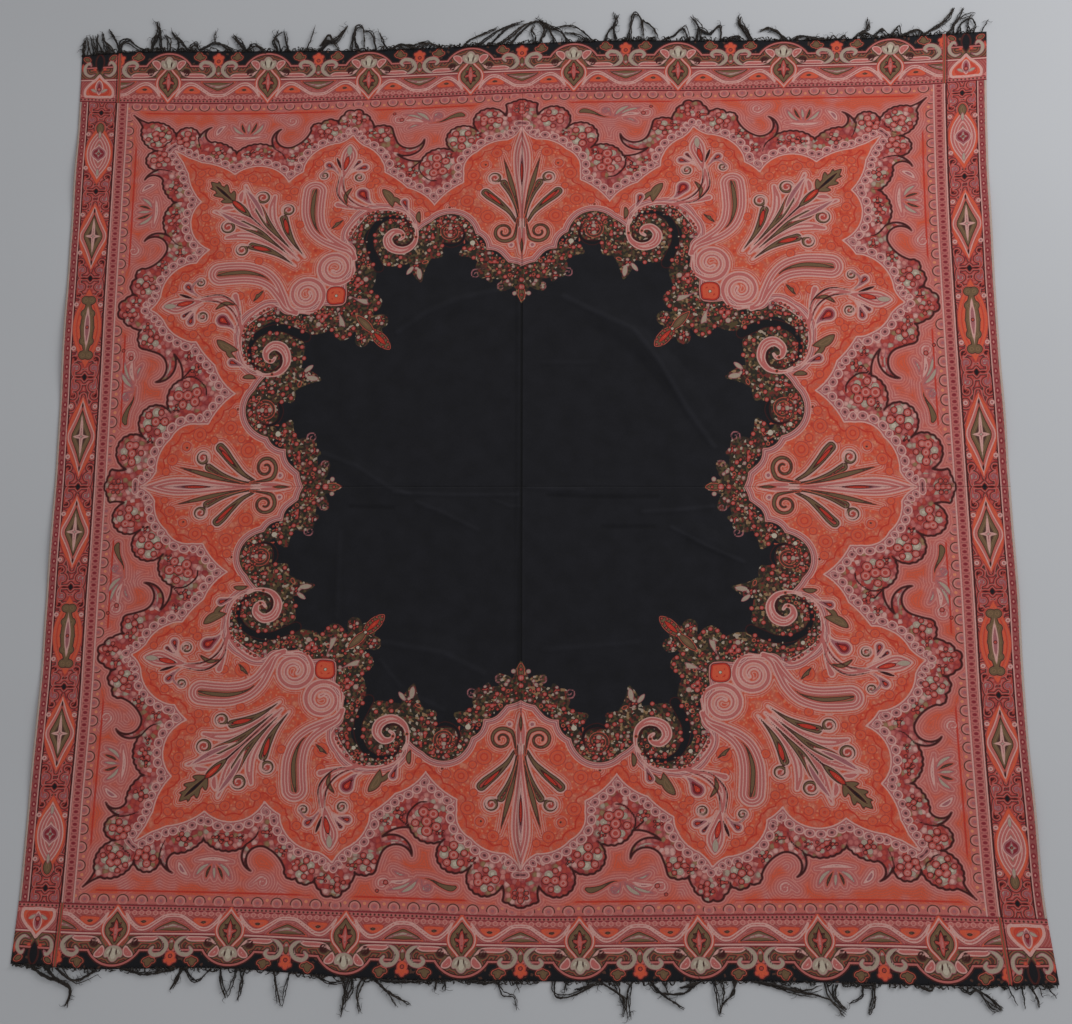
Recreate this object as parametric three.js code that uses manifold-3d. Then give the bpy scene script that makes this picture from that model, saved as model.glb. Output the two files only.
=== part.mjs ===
// A square paisley shawl laid flat: a woven field with its side borders, a sewn-on border
// at each end, and a fringe of yarn locks along each end hem.
// Millimetres, +Z up. The origin is on the underside, where the two pressed creases cross.
// +X runs to the right selvedge and +Y to the far end border.
import * as THREE from 'three';
import Module from 'manifold-3d';

// Cloth wall
const WALL = 1.6;
const SEAM_GAP = 0.3;

// Side edges of the cloth, selvedge included: a row for each height along the cloth
const SIDE_EDGES = [
  { y: -815, left: -822, right: 864 },
  { y: -682, left: -812, right: 848 },
  { y: -523, left: -806, right: 841 },
  { y: -360, left: -799, right: 836 },
  { y: -193, left: -797, right: 835 },
  { y: -22, left: -794, right: 832 },
  { y: 150, left: -793, right: 829 },
  { y: 332, left: -793, right: 826 },
  { y: 516, left: -791, right: 825 },
  { y: 695, left: -789, right: 829 },
  { y: 830, left: -790, right: 836 },
];

// Hems and border seams of the two ends: a row for each place across the cloth
const END_EDGES = [
  { x: -820, nearHem: -781, nearSeam: -683, farSeam: 702, farHem: 786 },
  { x: -700, nearHem: -789, nearSeam: -687, farSeam: 698, farHem: 797 },
  { x: -480, nearHem: -788, nearSeam: -692, farSeam: 697, farHem: 798 },
  { x: -245, nearHem: -804, nearSeam: -699, farSeam: 705, farHem: 801 },
  { x: 0, nearHem: -808, nearSeam: -707, farSeam: 717, farHem: 813 },
  { x: 170, nearHem: -809, nearSeam: -706, farSeam: 721, farHem: 819 },
  { x: 330, nearHem: -808, nearSeam: -704, farSeam: 722, farHem: 819 },
  { x: 480, nearHem: -810, nearSeam: -703, farSeam: 727, farHem: 820 },
  { x: 600, nearHem: -813, nearSeam: -704, farSeam: 730, farHem: 823 },
  { x: 715, nearHem: -816, nearSeam: -707, farSeam: 733, farHem: 829 },
  { x: 864, nearHem: -814, nearSeam: -712, farSeam: 746, farHem: 838 },
];

// The pressed lengthwise crease stands up in the outer face only, so the underside stays flat
const CREASE = { x: -3, halfWidth: 8, height: 1.2 };

// Soft folds that lift the cloth off the floor: start, end, sideways bow, half width, height
const FOLDS = [
  { x0: 60, y0: 345, x1: 335, y1: 60, bow: 42, half: 30, height: 6 },
  { x0: -30, y0: 352, x1: -225, y1: 268, bow: -14, half: 32, height: 4 },
  { x0: -345, y0: 62, x1: -180, y1: -16, bow: -4, half: 26, height: 4 },
  { x0: -205, y0: -20, x1: -70, y1: -78, bow: 10, half: 26, height: 3 },
  { x0: 40, y0: -6, x1: 235, y1: -16, bow: 4, half: 24, height: 3 },
  { x0: 245, y0: -64, x1: 380, y1: -132, bow: 6, half: 26, height: 4 },
  { x0: -240, y0: -262, x1: -55, y1: -320, bow: 12, half: 32, height: 4 },
  { x0: -308, y0: -70, x1: -308, y1: -230, bow: 8, half: 30, height: 3 },
  { x0: 30, y0: -280, x1: 200, y1: -262, bow: -6, half: 30, height: 3 },
];

// Places where a side edge ripples up off the floor: height along it, length and lift
const EDGE_LIFTS = [
  { side: -1, y: 560, length: 190, lift: 4 },
  { side: -1, y: 250, length: 240, lift: 5 },
  { side: -1, y: -90, length: 210, lift: 3.5 },
  { side: -1, y: -420, length: 260, lift: 4.5 },
  { side: 1, y: 470, length: 230, lift: 5 },
  { side: 1, y: 120, length: 200, lift: 4 },
  { side: 1, y: -180, length: 220, lift: 3.5 },
  { side: 1, y: -560, length: 240, lift: 5 },
];
const EDGE_LIFT_DEPTH = 75;

// Grid of the walls: the crest of the crease is a column of its own
const COLUMNS_EACH_SIDE = 18;
const FIELD_ROWS = 33;
const BORDER_ROWS = 3;
const HALF_WIDTH = 815;

// Fringe: a narrow strip just outside the hem holds the roots of all strands of one end
const STRIP = { gap: 0.3, width: 3, height: 1.6, rootDepth: 1.2 };
const STRAND = { rootRadius: 1.3, tipRadius: 0.6, floorGap: 0.4, sides: 3, segments: 3, bend: 1.4 };
const STRAND_TIP_SPACING = 3.4;
const FRINGE_END_INSET = 10;
const FRINGES = [
  { name: 'fringe_top', end: 1, locks: 22, perLock: 4, shortest: 30, longest: 72, drift: 30, seed: 3 },
  { name: 'fringe_bottom', end: -1, locks: 20, perLock: 4, shortest: 24, longest: 64, drift: 28, seed: 17 },
];

// Smooth curve through the rows of a table, from one named column to another
function through(rows, from, to) {
  const slopeAt = (index) => {
    const before = rows[Math.max(index - 1, 0)];
    const after = rows[Math.min(index + 1, rows.length - 1)];
    return (after[to] - before[to]) / (after[from] - before[from]);
  };
  return (value) => {
    let index = rows.findIndex((row) => row[from] > value) - 1;
    if (index < -1) index = rows.length - 2;
    index = Math.max(index, 0);
    const [low, high] = [rows[index], rows[index + 1]];
    const span = high[from] - low[from];
    const t = THREE.MathUtils.clamp((value - low[from]) / span, 0, 1);
    const rise = high[to] - low[to];
    const bendLow = slopeAt(index) * span - rise;
    const bendHigh = rise - slopeAt(index + 1) * span;
    return low[to] + rise * t + t * (1 - t) * (bendLow * (1 - t) + bendHigh * t);
  };
}

const leftEdge = through(SIDE_EDGES, 'y', 'left');
const rightEdge = through(SIDE_EDGES, 'y', 'right');
const nearHem = through(END_EDGES, 'x', 'nearHem');
const nearSeam = through(END_EDGES, 'x', 'nearSeam');
const farSeam = through(END_EDGES, 'x', 'farSeam');
const farHem = through(END_EDGES, 'x', 'farHem');

// Share -1 to 1 spread between two limits, with share 0 kept at the origin
function spread(share, low, high) {
  return share * (high - low) / 2 + share * share * (high + low) / 2;
}

// Point on the floor for a share across the cloth and a lengthwise place given by heightAt(x)
function floorPoint(across, heightAt) {
  let x = across * HALF_WIDTH;
  let y = heightAt(x);
  for (let pass = 0; pass < 4; pass += 1) {
    x = spread(across, leftEdge(y), rightEdge(y));
    y = heightAt(x);
  }
  return { x, y };
}

// Bump that is 1 in the middle and flat zero from distance 1 outwards
function softBump(distance) {
  const inside = Math.max(0, 1 - distance * distance);
  return inside * inside;
}

// Height of one fold at a point: full along its bowed line, tapering to nothing at its ends
function foldHeight(fold, x, y) {
  const length = Math.hypot(fold.x1 - fold.x0, fold.y1 - fold.y0);
  const alongX = (fold.x1 - fold.x0) / length;
  const alongY = (fold.y1 - fold.y0) / length;
  const along = ((x - fold.x0) * alongX + (y - fold.y0) * alongY) / length;
  const aside = (y - fold.y0) * alongX - (x - fold.x0) * alongY;
  const bowed = aside - fold.bow * 4 * along * (1 - along);
  return fold.height * softBump(bowed / fold.half) * softBump(2 * along - 1);
}

// Height of a side edge's ripple at a point
function edgeLiftHeight(row, x, y) {
  const edge = row.side < 0 ? leftEdge(y) : rightEdge(y);
  const inward = Math.abs(edge - x) / EDGE_LIFT_DEPTH;
  const fade = Math.max(0, 1 - inward);
  return row.lift * fade * fade * softBump(2 * (y - row.y) / row.length);
}

// Lift of the cloth's underside off the floor
function rise(x, y) {
  const folds = FOLDS.reduce((sum, fold) => sum + foldHeight(fold, x, y), 0);
  return EDGE_LIFTS.reduce((sum, row) => sum + edgeLiftHeight(row, x, y), folds);
}

// Extra wall over the pressed crease, which the field has between its two seams
function creaseRidge(x, y) {
  const fadeLength = 60;
  const toEnd = Math.min(farSeam(x) - y, y - nearSeam(x));
  const fade = THREE.MathUtils.smoothstep(toEnd, 0, fadeLength);
  return CREASE.height * fade * softBump((x - CREASE.x) / CREASE.halfWidth);
}

// Shares across the cloth for the grid's columns, closer together at the crease
function columnShares() {
  const creaseLeft = (CREASE.x - CREASE.halfWidth) / HALF_WIDTH;
  const creaseRight = (CREASE.x + CREASE.halfWidth) / HALF_WIDTH;
  const shares = [];
  for (let step = 0; step <= COLUMNS_EACH_SIDE; step += 1) {
    shares.push(THREE.MathUtils.lerp(-1, creaseLeft, step / COLUMNS_EACH_SIDE));
  }
  shares.push(CREASE.x / HALF_WIDTH);
  for (let step = 0; step <= COLUMNS_EACH_SIDE; step += 1) {
    shares.push(THREE.MathUtils.lerp(creaseRight, 1, step / COLUMNS_EACH_SIDE));
  }
  return shares;
}

// Geometry from corner points and triangles that share them
function indexedGeometry(positions, triangles) {
  const geometry = new THREE.BufferGeometry();
  geometry.setAttribute('position', new THREE.Float32BufferAttribute(positions, 3));
  geometry.setIndex(triangles);
  return geometry;
}

// Closed cloth wall over a grid of rows, from the near row to the far one
function clothWall(heights) {
  const shares = columnShares();
  const under = [];
  const outer = [];
  for (const heightAt of heights) {
    for (const share of shares) {
      const { x, y } = floorPoint(share, heightAt);
      const lift = rise(x, y);
      under.push(x, y, lift);
      outer.push(x, y, lift + WALL + creaseRidge(x, y));
    }
  }
  const columns = shares.length;
  const outerStart = heights.length * columns;
  const triangles = [];
  const quad = (a, b, c, d) => triangles.push(a, b, c, a, c, d);
  for (let row = 0; row < heights.length - 1; row += 1) {
    for (let column = 0; column < columns - 1; column += 1) {
      const corner = row * columns + column;
      const [a, b, c, d] = [corner, corner + 1, corner + 1 + columns, corner + columns];
      quad(outerStart + a, outerStart + b, outerStart + c, outerStart + d);
      quad(a, d, c, b);
    }
  }
  const rim = (a, b) => quad(a, b, outerStart + b, outerStart + a);
  const lastRow = (heights.length - 1) * columns;
  for (let column = 0; column < columns - 1; column += 1) {
    rim(column, column + 1);
    rim(lastRow + column + 1, lastRow + column);
  }
  for (let row = 0; row < heights.length - 1; row += 1) {
    rim((row + 1) * columns, row * columns);
    rim((row + 1) * columns - 1, (row + 2) * columns - 1);
  }
  return indexedGeometry([...under, ...outer], triangles);
}

// The field runs from seam to seam and has the side borders woven in
function fieldGeometry() {
  const heights = [];
  for (let row = 0; row <= FIELD_ROWS; row += 1) {
    const along = 2 * row / FIELD_ROWS - 1;
    const near = (x) => nearSeam(x) + SEAM_GAP / 2;
    const far = (x) => farSeam(x) - SEAM_GAP / 2;
    heights.push((x) => spread(along, near(x), far(x)));
  }
  return clothWall(heights);
}

// An end border runs from its seam to its hem; end is 1 at the far end and -1 at the near one
function endBorderGeometry(end) {
  const near = end > 0 ? (x) => farSeam(x) + SEAM_GAP / 2 : nearHem;
  const far = end > 0 ? farHem : (x) => nearSeam(x) - SEAM_GAP / 2;
  const heights = [];
  for (let row = 0; row <= BORDER_ROWS; row += 1) {
    heights.push((x) => THREE.MathUtils.lerp(near(x), far(x), row / BORDER_ROWS));
  }
  return clothWall(heights);
}

// Solid skinned over rings of points, each ring counter-clockwise seen from the last ring
function skinned(rings) {
  const sides = rings[0].length;
  const triangles = [];
  for (let ring = 0; ring < rings.length - 1; ring += 1) {
    for (let side = 0; side < sides; side += 1) {
      const [a, b] = [ring * sides + side, ring * sides + (side + 1) % sides];
      triangles.push(a, b, b + sides, a, b + sides, a + sides);
    }
  }
  const last = (rings.length - 1) * sides;
  for (let side = 1; side < sides - 1; side += 1) {
    triangles.push(0, side + 1, side, last, last + side, last + side + 1);
  }
  const positions = rings.flat().flatMap((point) => [point.x, point.y, point.z]);
  return indexedGeometry(positions, triangles);
}

const wasm = await Module();
wasm.setup();

// Solid for joining, from a geometry whose triangles share their corner points
function solidOf(geometry) {
  const vertProperties = new Float32Array(geometry.attributes.position.array);
  const triVerts = new Uint32Array(geometry.index.array);
  return new wasm.Manifold(new wasm.Mesh({ numProp: 3, vertProperties, triVerts }));
}

// Geometry of a joined solid
function geometryOf(solid) {
  const mesh = solid.getMesh();
  return indexedGeometry(Array.from(mesh.vertProperties), Array.from(mesh.triVerts));
}

// Repeatable number from 0 to 1 that differs from one index to the next
function uneven(index, seed) {
  const spun = Math.sin(index * 12.9898 + seed * 78.233) * 43758.5453;
  return spun - Math.floor(spun);
}

// Strip just outside the hem, with a section at each column of the border's own grid
function fringeStrip(end) {
  const hem = end > 0 ? farHem : nearHem;
  const outward = (distance) => (x) => hem(x) + end * distance;
  const rings = columnShares().map((share) => {
    const inner = floorPoint(share, outward(STRIP.gap));
    const outer = floorPoint(share, outward(STRIP.gap + STRIP.width));
    const ring = [
      new THREE.Vector3(inner.x, inner.y, 0),
      new THREE.Vector3(outer.x, outer.y, 0),
      new THREE.Vector3(outer.x, outer.y, STRIP.height),
      new THREE.Vector3(inner.x, inner.y, STRIP.height),
    ];
    return end > 0 ? ring : ring.reverse();
  });
  return skinned(rings);
}

// Root, tip and length of each strand of a fringe; locks draw their strands together at the tips
function strandPlans(fringe) {
  const hem = fringe.end > 0 ? farHem : nearHem;
  const low = leftEdge(hem(-HALF_WIDTH)) + FRINGE_END_INSET;
  const high = rightEdge(hem(HALF_WIDTH)) - FRINGE_END_INSET;
  const lockPitch = (high - low) / fringe.locks;
  const rootPitch = lockPitch / (fringe.perLock + 0.5);
  const plans = [];
  let lastTip = low - lockPitch / 2;
  for (let lock = 0; lock < fringe.locks; lock += 1) {
    const middle = low + (lock + 0.5) * lockPitch;
    const sway = (uneven(lock, fringe.seed) - 0.5) * 2 * fringe.drift;
    const share = uneven(lock, fringe.seed + 1);
    const reach = THREE.MathUtils.lerp(fringe.shortest, fringe.longest, share);
    for (let strand = 0; strand < fringe.perLock; strand += 1) {
      const offset = strand - (fringe.perLock - 1) / 2;
      const wanted = middle + sway + offset * STRAND_TIP_SPACING;
      const tip = Math.max(wanted, lastTip + STRAND_TIP_SPACING);
      const unevenness = uneven(lock * fringe.perLock + strand, fringe.seed + 2);
      plans.push({ root: middle + offset * rootPitch, tip, reach: reach * (1 - 0.25 * unevenness) });
      lastTip = tip;
    }
  }
  return plans;
}

// One strand: a three-sided taper whose lowest edge stays just above the floor
function strandGeometry(plan, fringe) {
  const hem = fringe.end > 0 ? farHem : nearHem;
  const rings = [];
  for (let step = 0; step <= STRAND.segments; step += 1) {
    const share = step / STRAND.segments;
    const outward = share * plan.reach;
    const sideways = (plan.tip - plan.root) * (outward / fringe.longest) ** STRAND.bend;
    const x = plan.root + sideways;
    const rooted = STRIP.gap + STRIP.width - STRIP.rootDepth;
    const y = hem(plan.root) + fringe.end * (rooted + outward);
    const radius = THREE.MathUtils.lerp(STRAND.rootRadius, STRAND.tipRadius, share);
    const ring = [];
    for (let side = 0; side < STRAND.sides; side += 1) {
      const angle = -Math.PI / 2 + side * 2 * Math.PI / STRAND.sides;
      const height = STRAND.floorGap + radius + radius * Math.sin(angle);
      ring.push(new THREE.Vector3(x - fringe.end * radius * Math.cos(angle), y, height));
    }
    rings.push(ring);
  }
  return skinned(rings);
}

// Strip and strands of one end, joined into one solid
function fringeGeometry(fringe) {
  const strands = strandPlans(fringe).map((plan) => solidOf(strandGeometry(plan, fringe)));
  return geometryOf(strands.reduce((body, strand) => body.add(strand), solidOf(fringeStrip(fringe.end))));
}

const FINISHES = {
  field: { color: 0xa84a3c, roughness: 0.92, metalness: 0 },
  border: { color: 0x96503a, roughness: 0.92, metalness: 0 },
  yarn: { color: 0x1b1c22, roughness: 0.95, metalness: 0 },
};

// Named mesh with a material of its own
function piece(name, geometry, finish) {
  const mesh = new THREE.Mesh(geometry, new THREE.MeshStandardMaterial(FINISHES[finish]));
  mesh.name = name;
  return mesh;
}

const shawl = new THREE.Group();
shawl.add(piece('field', fieldGeometry(), 'field'));
shawl.add(piece('end_border_top', endBorderGeometry(1), 'border'));
shawl.add(piece('end_border_bottom', endBorderGeometry(-1), 'border'));
for (const fringe of FRINGES) {
  shawl.add(piece(fringe.name, fringeGeometry(fringe), 'yarn'));
}

export default shawl;
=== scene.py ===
"""A square paisley shawl laid flat: a woven field with side borders, sewn end borders, yarn fringe.

Sizes in the tables are millimetres on the cloth; meshes are made in metres. The pattern is drawn
as a chart of lobed outlines, leaves, horns, curls and beads, and a quarter of the chart is turned
over for the other three quarters of the field.
"""

import logging
import math
from dataclasses import dataclass, field
from enum import Enum
from typing import Callable, Iterable, Sequence, Union

import bpy
import numpy as np
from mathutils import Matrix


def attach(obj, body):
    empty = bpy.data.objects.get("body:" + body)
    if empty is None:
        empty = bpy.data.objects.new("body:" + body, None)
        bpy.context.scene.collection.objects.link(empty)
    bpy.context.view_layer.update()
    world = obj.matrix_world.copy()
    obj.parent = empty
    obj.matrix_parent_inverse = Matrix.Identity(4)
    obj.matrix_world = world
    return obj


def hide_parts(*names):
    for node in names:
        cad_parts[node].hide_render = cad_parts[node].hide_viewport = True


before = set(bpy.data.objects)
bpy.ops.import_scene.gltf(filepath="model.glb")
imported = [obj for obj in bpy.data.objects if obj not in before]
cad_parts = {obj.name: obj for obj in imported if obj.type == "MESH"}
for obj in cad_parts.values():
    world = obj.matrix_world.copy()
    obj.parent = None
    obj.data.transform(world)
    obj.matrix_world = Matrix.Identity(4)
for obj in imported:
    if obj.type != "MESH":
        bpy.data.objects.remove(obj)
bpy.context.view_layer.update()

log = logging.getLogger("shawl")

MM = 0.001
BODY = "root"

Point = tuple[float, float]
Colour = tuple[int, int, int]
Heights = Callable[[np.ndarray], np.ndarray]


class SmoothTable:
    """Smooth curve through the rows of a short table, with central slopes at the rows."""

    def __init__(self, places: Sequence[float], values: Sequence[float]) -> None:
        """Keep the rows and work out a slope for each.

        Args:
            places: rising places of the rows.
            values: what the curve has at each place.
        """
        self.places = np.array(places, float)
        self.values = np.array(values, float)
        before = np.maximum(np.arange(len(places)) - 1, 0)
        after = np.minimum(np.arange(len(places)) + 1, len(places) - 1)
        rise = self.values[after] - self.values[before]
        self.slopes = rise / (self.places[after] - self.places[before])

    def __call__(self, at: np.ndarray) -> np.ndarray:
        """Values of the curve.

        Args:
            at: places to read; past the ends the curve stays level.

        Returns:
            The values there.
        """
        row = np.searchsorted(self.places, at, side="right") - 1
        row = np.clip(row, 0, len(self.places) - 2)
        span = self.places[row + 1] - self.places[row]
        t = np.clip((at - self.places[row]) / span, 0, 1)
        rise = self.values[row + 1] - self.values[row]
        bend_low = self.slopes[row] * span - rise
        bend_high = rise - self.slopes[row + 1] * span
        return self.values[row] + rise * t + t * (1 - t) * (bend_low * (1 - t) + bend_high * t)


def soft_bump(distance: np.ndarray) -> np.ndarray:
    """Bump that is 1 in the middle and flat zero from distance 1 outwards."""
    return np.maximum(0, 1 - distance * distance) ** 2


def spread(share: np.ndarray, low: np.ndarray, high: np.ndarray) -> np.ndarray:
    """Share -1 to 1 spread between two limits, with share 0 kept at the origin."""
    return share * (high - low) / 2 + share * share * (high + low) / 2


def smoothstep(value: np.ndarray, high: float) -> np.ndarray:
    """Ease from 0 at 0 to 1 at high."""
    t = np.clip(value / high, 0, 1)
    return t * t * (3 - 2 * t)


@dataclass(frozen=True)
class Fold:
    """A soft fold that lifts the cloth off the floor."""

    start: Point
    end: Point
    bow: float
    half: float
    height: float

    def lift(self, x: np.ndarray, y: np.ndarray) -> np.ndarray:
        """Lift of the cloth at points of the floor.

        Args:
            x: places across.
            y: places along.

        Returns:
            The fold's height there.
        """
        (x0, y0), (x1, y1) = self.start, self.end
        length = math.hypot(x1 - x0, y1 - y0)
        ux, uy = (x1 - x0) / length, (y1 - y0) / length
        along = ((x - x0) * ux + (y - y0) * uy) / length
        aside = (y - y0) * ux - (x - x0) * uy
        bowed = aside - self.bow * 4 * along * (1 - along)
        return self.height * soft_bump(bowed / self.half) * soft_bump(2 * along - 1)


@dataclass(frozen=True)
class Pinch:
    """A fine crease in the outer face only; a negative height is a trough."""

    points: tuple[Point, ...]
    half: float
    height: float

    def lift(self, x: np.ndarray, y: np.ndarray) -> np.ndarray:
        """Height of the crease at points of the floor, fading out past its ends.

        Args:
            x: places across.
            y: places along.

        Returns:
            The crease's height there.
        """
        nearest = np.full(x.shape, np.inf)
        for (x0, y0), (x1, y1) in zip(self.points, self.points[1:]):
            dx, dy = x1 - x0, y1 - y0
            t = np.clip(((x - x0) * dx + (y - y0) * dy) / (dx * dx + dy * dy), 0, 1)
            nearest = np.minimum(nearest, np.hypot(x - x0 - t * dx, y - y0 - t * dy))
        return self.height * soft_bump(nearest / self.half)


@dataclass(frozen=True)
class EdgeLift:
    """A place where a side edge ripples up off the floor."""

    side: int
    y: float
    length: float
    lift: float


FOLDS = (
    Fold((60, 345), (335, 60), 42, 30, 6),
    Fold((-30, 352), (-225, 268), -14, 32, 4),
    Fold((-345, 62), (-180, -16), -4, 26, 4),
    Fold((-205, -20), (-70, -78), 10, 26, 3),
    Fold((40, -6), (235, -16), 4, 24, 3),
    Fold((245, -64), (380, -132), 6, 26, 4),
    Fold((-240, -262), (-55, -320), 12, 32, 4),
    Fold((-308, -70), (-308, -230), 8, 30, 3),
    Fold((30, -280), (200, -262), -6, 30, 3),
)

PINCHES = (
    Pinch(((0, 640), (0, 332), (-1, 153), (-1, 0), (-4, -125), (-5, -294), (-4, -640)), 4.0, -0.8),
    Pinch(((-218, -10), (-120, -14), (-7, -14)), 5, 0.9),
    Pinch(((10, -1), (105, -5)), 5, 0.8),
    Pinch(((-291, -34), (-218, -36)), 6, -0.8),
    Pinch(((44, -14), (140, -18), (231, -17)), 6, -0.8),
    Pinch(((206, -43), (270, -40), (325, -34)), 6, 0.9),
    Pinch(((138, -69), (223, -69)), 7, -0.7),
    Pinch(((-48, -22), (-19, -34), (-2, -33)), 4, 0.7),
    Pinch(((252, -69), (314, -103), (374, -129)), 5, 0.9),
    Pinch(((37, 219), (130, 219)), 6, 0.5),
    Pinch(((-177, -27), (-133, -45), (-75, -74)), 6, 0.8),
    Pinch(((-339, 59), (-280, 35), (-228, 0), (-189, -14)), 6, 0.8),
    Pinch(((72, 338), (154, 296), (193, 278), (234, 224), (284, 135), (328, 70)), 8, 1.0),
    Pinch(((-38, 350), (-113, 332), (-164, 309), (-216, 273)), 8, 0.8),
    Pinch(((-230, -265), (-130, -282), (-63, -315)), 8, 0.8),
    Pinch(((-235, -294), (-201, -338)), 6, 0.7),
    Pinch(((-172, -355), (-129, -376)), 6, 0.6),
    Pinch(((-307, -79), (-308, -222)), 7, 0.6),
    Pinch(((37, -277), (194, -265)), 7, 0.6),
)

EDGE_LIFTS = (
    EdgeLift(-1, 560, 190, 4),
    EdgeLift(-1, 250, 240, 5),
    EdgeLift(-1, -90, 210, 3.5),
    EdgeLift(-1, -420, 260, 4.5),
    EdgeLift(1, 470, 230, 5),
    EdgeLift(1, 120, 200, 4),
    EdgeLift(1, -180, 220, 3.5),
    EdgeLift(1, -560, 240, 5),
)


class ClothPlan:
    """The cloth's plan on the floor and its relief, in millimetres."""

    WALL = 1.6
    SEAM_GAP = 0.3
    HALF_WIDTH = 815.0
    LIFT_DEPTH = 75.0
    CREASE_X = -3.0
    CREASE_HALF = 9.0
    CREASE_HEIGHT = 2.4
    FINE = 1.7
    UNEVEN = 0.25
    THINNEST = 0.5
    CREASE_FADE = 60.0
    PASSES = 4

    SIDE_Y = (-815, -682, -523, -360, -193, -22, 150, 332, 516, 695, 830)
    LEFT = (-822, -812, -806, -799, -797, -794, -793, -793, -791, -789, -790)
    RIGHT = (864, 848, 841, 836, 835, 832, 829, 826, 825, 829, 836)
    END_X = (-820, -700, -480, -245, 0, 170, 330, 480, 600, 715, 864)
    NEAR_HEM = (-781, -789, -788, -804, -808, -809, -808, -810, -813, -816, -814)
    NEAR_SEAM = (-683, -687, -692, -699, -707, -706, -704, -703, -704, -707, -712)
    FAR_SEAM = (702, 698, 697, 705, 717, 721, 722, 727, 730, 733, 746)
    FAR_HEM = (786, 797, 798, 801, 813, 819, 819, 820, 823, 829, 838)

    def __init__(self) -> None:
        """Make the smooth edges of the cloth."""
        self.left = SmoothTable(self.SIDE_Y, self.LEFT)
        self.right = SmoothTable(self.SIDE_Y, self.RIGHT)
        self.near_hem = SmoothTable(self.END_X, self.NEAR_HEM)
        self.near_seam = SmoothTable(self.END_X, self.NEAR_SEAM)
        self.far_seam = SmoothTable(self.END_X, self.FAR_SEAM)
        self.far_hem = SmoothTable(self.END_X, self.FAR_HEM)

    def floor_point(self, across: np.ndarray, height: Heights) -> tuple[np.ndarray, np.ndarray]:
        """Points on the floor.

        Args:
            across: shares across the cloth, -1 to 1.
            height: gives the lengthwise place for places across.

        Returns:
            Places across and along.
        """
        x = across * self.HALF_WIDTH
        y = height(x)
        for _ in range(self.PASSES):
            x = spread(across, self.left(y), self.right(y))
            y = height(x)
        return x, y

    def field_height(self, along: np.ndarray) -> Heights:
        """Lengthwise places for shares along the field, -1 to 1 between its seams."""
        half_gap = self.SEAM_GAP / 2
        return lambda x: spread(along, self.near_seam(x) + half_gap, self.far_seam(x) - half_gap)

    def border_height(self, end: int, share: np.ndarray) -> Heights:
        """Lengthwise places on an end border, for shares from its seam, 0, to its hem, 1."""
        seam, hem = (self.far_seam, self.far_hem) if end > 0 else (self.near_seam, self.near_hem)
        half_gap = end * self.SEAM_GAP / 2
        return lambda x: (seam(x) + half_gap) * (1 - share) + hem(x) * share

    def hem(self, end: int) -> SmoothTable:
        """The hem curve of one end."""
        return self.far_hem if end > 0 else self.near_hem

    def rise(self, x: np.ndarray, y: np.ndarray) -> np.ndarray:
        """Lift of the cloth's underside off the floor.

        Args:
            x: places across.
            y: places along.

        Returns:
            The lift there.
        """
        total = sum(fold.lift(x, y) for fold in FOLDS)
        for row in EDGE_LIFTS:
            edge = self.left(y) if row.side < 0 else self.right(y)
            fade = np.maximum(0, 1 - np.abs(edge - x) / self.LIFT_DEPTH)
            total = total + row.lift * fade**2 * soft_bump(2 * (y - row.y) / row.length)
        return total

    def pressed(self, x: np.ndarray, y: np.ndarray) -> np.ndarray:
        """Height of all the fine creases.

        Args:
            x: places across.
            y: places along.

        Returns:
            The height there, negative in a trough.
        """
        return self.FINE * sum(pinch.lift(x, y) for pinch in PINCHES)

    def relief(self, x: np.ndarray, y: np.ndarray) -> np.ndarray:
        """Extra height of the outer face: the pressed crease, fine creases and a slight unevenness.

        Args:
            x: places across.
            y: places along.

        Returns:
            The extra height there.
        """
        to_end = np.minimum(self.far_seam(x) - y, y - self.near_seam(x))
        fade = smoothstep(to_end, self.CREASE_FADE)
        ridge = self.CREASE_HEIGHT * soft_bump((x - self.CREASE_X) / self.CREASE_HALF)
        fine = self.pressed(x, y)
        wave = np.sin(x / 23 + 1.7 * np.sin(y / 61)) * np.sin(y / 27 + 1.3 * np.sin(x / 47))
        return np.maximum(fade * ridge + fine * fade + self.UNEVEN * wave, self.THINNEST - self.WALL)


class Style(Enum):
    """Kinds of figure in the weave, from the lowest to the highest, each with a finish of its own."""

    GLOW = "glow"
    HORN = "horn"
    PLUME = "plume"
    LEAF = "leaf"
    DROP = "drop"
    RED = "red"
    SAGE = "sage"
    INK = "ink"
    BERRY = "berry"
    PEARL = "pearl"


GLOW, HORN, PLUME, LEAF, DROP, RED, SAGE, INK, BERRY, PEARL = Style


STEP = 1.6


def smooth_path(points: Sequence[Sequence[float]], spacing: float = STEP) -> np.ndarray:
    """Evenly stepped curve through a few points, which may carry a radius as a third number.

    Args:
        points: points that the curve passes.
        spacing: distance between its steps.

    Returns:
        Points of the curve, one a row.
    """
    knots = np.array(points, float)
    if len(knots) == 2:
        knots = np.array([knots[0], knots.mean(0), knots[1]])
    ends = [2 * knots[0] - knots[1], *knots, 2 * knots[-1] - knots[-2]]
    path = []
    for p0, p1, p2, p3 in zip(ends, ends[1:], ends[2:], ends[3:]):
        steps = max(2, math.ceil(np.hypot(*(p2 - p1)[:2]) / spacing))
        t = np.arange(steps)[:, None] / steps
        path.append(
            0.5 * (2 * p1 + (p2 - p0) * t + (2 * p0 - 5 * p1 + 4 * p2 - p3) * t**2
                   + (3 * p1 - p0 - 3 * p2 + p3) * t**3)
        )
    return np.vstack([*path, knots[-1:]])


def discs(path: np.ndarray, radii: np.ndarray) -> np.ndarray:
    """Discs along a path, as rows of place across, place along and radius."""
    return np.column_stack([path, np.broadcast_to(radii, len(path))])


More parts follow.
